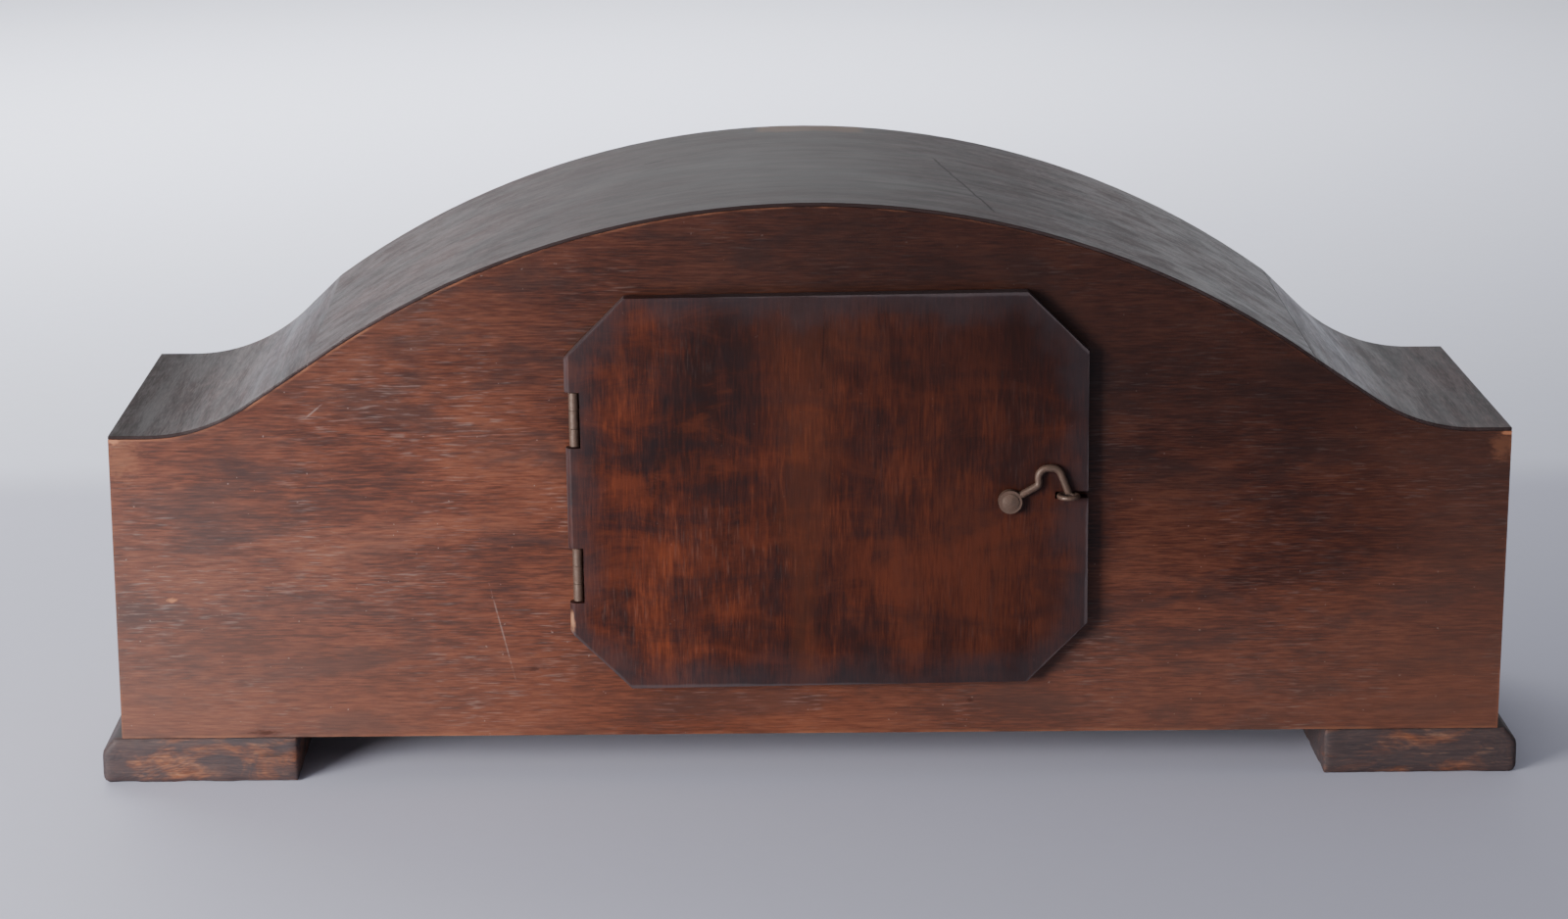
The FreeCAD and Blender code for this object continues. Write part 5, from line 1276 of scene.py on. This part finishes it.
@dataclass
class Works(SubAssembly):
    """The movement: plates, train, barrel, winding work, escapement and pendulum."""

    slots: Mapping[str, str] = field(kw_only=True)
    knurls: int = 36
    rib_sink: float = 0.12
    rib_length: float = 0.22
    rib_width: float = 0.26
    rib_share: float = 0.92

    def build(self) -> None:
        """Adds the ribs of the rating nut."""
        low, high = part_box("rating_nut")
        middle = (Vector(low) + Vector(high)) / 2.0
        radius = (high[0] - low[0]) / (2.0 * MM) - self.rib_sink
        height = (high[2] - low[2]) / MM * self.rib_share
        ribs = RingOfBars("nut_ribs", self.knurls, radius, self.rib_length, self.rib_width, height)
        brass = self.finishes["brass"]
        mesh = ribs.mesh(brass, Matrix.Translation(middle))
        self.bench.piece("rating_nut_ribs", mesh, "pendulum", "movement_brass", brass)

    def dress(self) -> None:
        """Paints the nodes whose material slot is movement brass or movement steel."""
        metals = {"movement_brass": "brass", "movement_steel": "steel"}
        for node, slot in self.slots.items():
            if slot in metals:
                self.paint(metals[slot], node)


@dataclass(frozen=True)
class Lamp:
    """One soft rectangular light, in metres, watts and degrees."""

    name: str
    place: Point
    aim: Point
    size: Pair
    power: float
    tone: Tone = (1.0, 1.0, 1.0)
    spread: float = 180.0

    def light(self) -> None:
        """Hangs the light."""
        data = bpy.data.lights.new(self.name, "AREA")
        data.shape = "RECTANGLE"
        data.size, data.size_y = self.size
        data.energy = self.power
        data.color = self.tone
        data.spread = math.radians(self.spread)
        lamp = placed(self.name, data)
        lamp.location = self.place
        lamp.rotation_euler = (Vector(self.aim) - Vector(self.place)).to_track_quat("-Z", "Y").to_euler()


@dataclass(frozen=True)
class StudioFloor:
    """A pale floor with a painted glow far from the clock, fading into the sky, in millimetres."""

    near: Tone = (0.575, 0.58, 0.705)
    far: Tone = (0.79, 0.81, 0.95)
    speck: Tone = (0.5, 0.5, 0.55)
    glow: Tone = (0.3, 0.308, 0.33)
    haze: Tone = (0.21, 0.215, 0.23)
    far_y: Span = (-360.0, -290.0)
    far_sway: float = 40.0
    glow_reach: Span = (900.0, 2800.0)
    haze_reach: Span = (4200.0, 11000.0)

    def material(self) -> Material:
        """Makes the material.

        Returns:
            The finish of the floor.
        """
        sheet = Sheet("studio_floor", self.near)
        fine = sheet.cloud(even(0.15), shift=1.0, detail=2.0, rough=0.5)
        broad = sheet.cloud(even(0.004), shift=2.0, detail=2.0, rough=0.5)
        sheet.tint(self.far, (sheet.y + broad.swing(self.far_sway)).fall(*self.far_y))
        sheet.tint(self.speck, fine * 0.08)
        reach = (sheet.x * sheet.x + sheet.y * sheet.y).root()
        away = reach.rise(*self.haze_reach)
        sheet.tint(BLACK, away)
        # painted light: the far floor glows by emission, though no lamp lights it
        glow = sheet.blend(BLACK, self.glow, reach.rise(*self.glow_reach))
        glow = sheet.blend(glow, self.haze, away)
        return sheet.close(fine * 0.1 + 0.62, Emission_Color=glow, Emission_Strength=1.0)


@dataclass
class Studio:
    """Floor, light and camera, in metres and degrees, with the lens and sensor in millimetres."""

    eye: Point = (0.0316, 1.2011, 0.4021)
    lens: float = 84.28
    sensor: float = 36.0
    clip: Span = (0.01, 100.0)
    yaw: float = -1.129
    pitch: float = 14.465
    roll: float = 0.088
    reach: float = 14.0
    lamps: tuple[Lamp, ...] = ()
    sky: Tone = (0.86, 0.88, 0.94)
    sky_strength: float = 0.3

    def build(self) -> None:
        """Lays the floor and hangs the lights."""
        mesh = bpy.data.meshes.new("studio_floor")
        r = self.reach
        mesh.from_pydata([(-r, -r, 0.0), (r, -r, 0.0), (r, r, 0.0), (-r, r, 0.0)], [], [(0, 1, 2, 3)])
        mesh.materials.append(StudioFloor().material())
        floor = placed("studio_floor", mesh)
        world = bpy.data.worlds.new("studio")
        world.use_nodes = True
        back = world.node_tree.nodes["Background"]
        back.inputs["Color"].default_value = (*self.sky, 1.0)
        back.inputs["Strength"].default_value = self.sky_strength
        bpy.context.scene.world = world
        for lamp in self.lamps:
            lamp.light()

    def look(self) -> None:
        """Sets the camera where the photograph was taken from."""
        yaw, pitch, roll = (math.radians(a) for a in (self.yaw, self.pitch, self.roll))
        level = math.cos(pitch)
        ahead = Vector((math.sin(yaw) * level, -math.cos(yaw) * level, -math.sin(pitch)))
        right = Vector((-math.cos(yaw), -math.sin(yaw), 0.0))
        down = ahead.cross(right)
        side = right * math.cos(roll) + down * math.sin(roll)
        below = down * math.cos(roll) - right * math.sin(roll)
        data = bpy.data.cameras.new("camera")
        data.sensor_width = self.sensor
        data.lens = self.lens
        data.clip_start, data.clip_end = self.clip
        camera = placed("camera", data)
        turn = Matrix((side, -below, -ahead)).transposed().to_4x4()
        camera.matrix_world = Matrix.Translation(self.eye) @ turn
        bpy.context.scene.camera = camera


VENEER = WoodTones(dark=(0.034, 0.0085, 0.004), body=(0.088, 0.0225, 0.0095),
                   bright=(0.138, 0.042, 0.0195), worn=(0.3, 0.12, 0.06))
DOOR = WoodTones(dark=(0.013, 0.0038, 0.0026), body=(0.047, 0.0095, 0.0038),
                 bright=(0.11, 0.0245, 0.0085), worn=(0.29, 0.14, 0.08), soot=(0.009, 0.0062, 0.0075))
TOP = WoodTones(dark=(0.017, 0.0095, 0.009), body=(0.056, 0.03, 0.029),
                bright=(0.105, 0.062, 0.059), worn=(0.17, 0.08, 0.042), soot=(0.012, 0.0095, 0.009))
TIMBER = WoodTones(dark=(0.05, 0.016, 0.007), body=(0.14, 0.046, 0.02),
                   bright=(0.24, 0.09, 0.042), worn=(0.4, 0.2, 0.11))
RAW = WoodTones(dark=(0.2, 0.12, 0.06), body=(0.33, 0.21, 0.115),
                bright=(0.45, 0.31, 0.18), worn=(0.5, 0.36, 0.2))
STAIN: Tone = (0.022, 0.021, 0.026)

HAT = HatOutline(arch_radius=278.8, arch_centre_z=-87.3, crease_x=161.0, turn=(181.29, 126.73),
                 run_way=(-0.556, -0.831), cove_centre=(213.0, 174.14), cove_radius=57.04,
                 half_width=225.0, foot_z=15.5)
PANEL = PanelVeneer(VENEER, Grain.ALONG_X, fine_share=0.42, strand_share=0.22, soot_share=0.55,
                    dust_share=0.32, outline=HAT, warm=(0.135, 0.045, 0.023), deep=(0.01, 0.0028, 0.0018),
                    scratches=(Mark(159.1, 124.9, 3.6, 0.35, -40.0), Mark(100.5, 50.9, 0.3, 15.5, -13.7)),
                    rubs=(Mark(221.0, 110.0, 7.0, 9.0), Mark(-222.0, 111.0, 4.5, 6.0)),
                    chips=(Mark(206.6, 62.3, 2.0, 0.85), Mark(223.2, 115.2, 2.4, 1.3),
                           Mark(-223.6, 115.4, 1.8, 1.0)),
                    stains=(Mark(-51.6, 26.4, 1.6, 1.0), Mark(90.5, 38.2, 2.0, 0.8),
                            Mark(178.6, 17.0, 5.0, 1.2)))
DOOR_BOARD = DoorVeneer(DOOR, Grain.ALONG_Z, shift=5.0, fine_share=0.3, strand_share=0.15, soot_share=0.4,
                        dust_share=0.1, centre=(-4.8, 98.3), half=(83.5, 64.5),
                        bloom=(0.019, 0.0155, 0.019), glint=(0.08, 0.066, 0.07), ray=(0.1, 0.028, 0.011),
                        splinters=(Mark(77.6, 55.6, 1.0, 4.6),),
                        cracks=(Mark(-3.2, 146.0, 0.3, 15.5, 2.5),))
LEFT_FOOT = EndGrain(TIMBER, Grain.ALONG_X, shift=3.0, stain=STAIN, heart=(-196.0, -30.0), stained=0.16,
                     name="left_foot_wood")
RIGHT_FOOT = EndGrain(TIMBER, Grain.ALONG_X, shift=7.0, stain=STAIN, heart=(196.0, -24.0), stained=0.085,
                      name="right_foot_wood")
METALS = {"brass": PlainMetal("train_brass", (0.72, 0.5, 0.2), tarnish=(0.32, 0.2, 0.08), rough=0.26),
          "bezel": PlainMetal("bezel_brass", (0.76, 0.53, 0.22), tarnish=(0.36, 0.22, 0.09), rough=0.16),
          "steel": PlainMetal("train_steel", (0.5, 0.5, 0.51), tarnish=(0.28, 0.26, 0.25), rough=0.26),
          "blued": PlainMetal("blued_steel", (0.012, 0.018, 0.06), tarnish=(0.02, 0.02, 0.03), rough=0.24)}
DIAL_CENTRE_Z = 111.5

LAMPS = (Lamp("key", place=(0.85, 0.8, 0.27), aim=(0.14, 0.0, 0.06), size=(0.6, 0.44), power=10.0,
              tone=(1.0, 0.985, 0.97), spread=110.0),
         Lamp("front", place=(0.7, 1.6, 1.1), aim=(0.1, 0.05, 0.0), size=(0.9, 0.6), power=1.1,
              tone=(0.98, 0.985, 1.0), spread=110.0),
         Lamp("over", place=(0.1, -0.2, 1.7), aim=(0.0, -0.1, 0.1), size=(1.6, 1.0), power=1.0,
              tone=(0.96, 0.97, 1.0)),
         Lamp("backdrop", place=(0.0, -6.0, 0.9), aim=(0.0, 0.0, 0.9), size=(14.0, 1.2), power=30.0,
              tone=(0.96, 0.97, 1.0)),
         Lamp("back", place=(0.6, -1.3, 1.0), aim=(0.55, -1.2, 0.0), size=(2.0, 0.7), power=30.0,
              tone=(0.97, 0.98, 1.0), spread=130.0))


def finishes() -> dict[str, Material]:
    """Makes every material of the clock.

    Returns:
        Materials by short name.
    """
    top = TopVeneer(TOP, Grain.ALONG_X, fine_share=0.35, strand_share=0.35, bare=(0.12, 0.062, 0.036),
                    haze=(0.13, 0.12, 0.118), back_y=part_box("back_panel")[1][1] / MM,
                    front_y=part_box("front_panel")[0][1] / MM)
    table = {"panel": PANEL, "door": DOOR_BOARD, "left_foot": LEFT_FOOT, "right_foot": RIGHT_FOOT,
             "ends": EndVeneer(VENEER, Grain.ALONG_Z, shift=11.0, soot_share=0.4, dust_share=0.1),
             "front": EndVeneer(VENEER, Grain.ALONG_X, shift=23.0, soot_share=0.45, dust_share=0.12),
             "raw": RawWood(RAW, Grain.ALONG_X, shift=13.0),
             "arch": replace(top, shift=15.0, soot_share=0.45, dust_share=0.22),
             "shoulder": replace(top, grain=Grain.ALONG_Y, shift=19.0, soot_share=0.7, dust_share=0.3),
             "iron": AgedIron(), **METALS, "dial": SilveredDial(DIAL_CENTRE_Z), "ink": DialInk(),
             "glass": ClearGlass()}
    return {name: finish.material() for name, finish in table.items()}


def main() -> None:
    """Loads the parts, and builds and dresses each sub-assembly."""
    logging.basicConfig(level=logging.INFO, format="%(name)s %(message)s")
    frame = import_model()
    bench = Bench(frame)
    made = finishes()
    slots = {row["node"]: row["material_slot"] for row in frame["record"]["subparts"]}
    for part in (CaseWork(bench, made), BackDoor(bench, made), DialFace(bench, made),
                 Works(bench, made, slots=slots)):
        part.build()
        part.dress()
    studio = Studio(lamps=LAMPS)
    studio.build()
    studio.look()


if __name__ == "__main__":
    main()
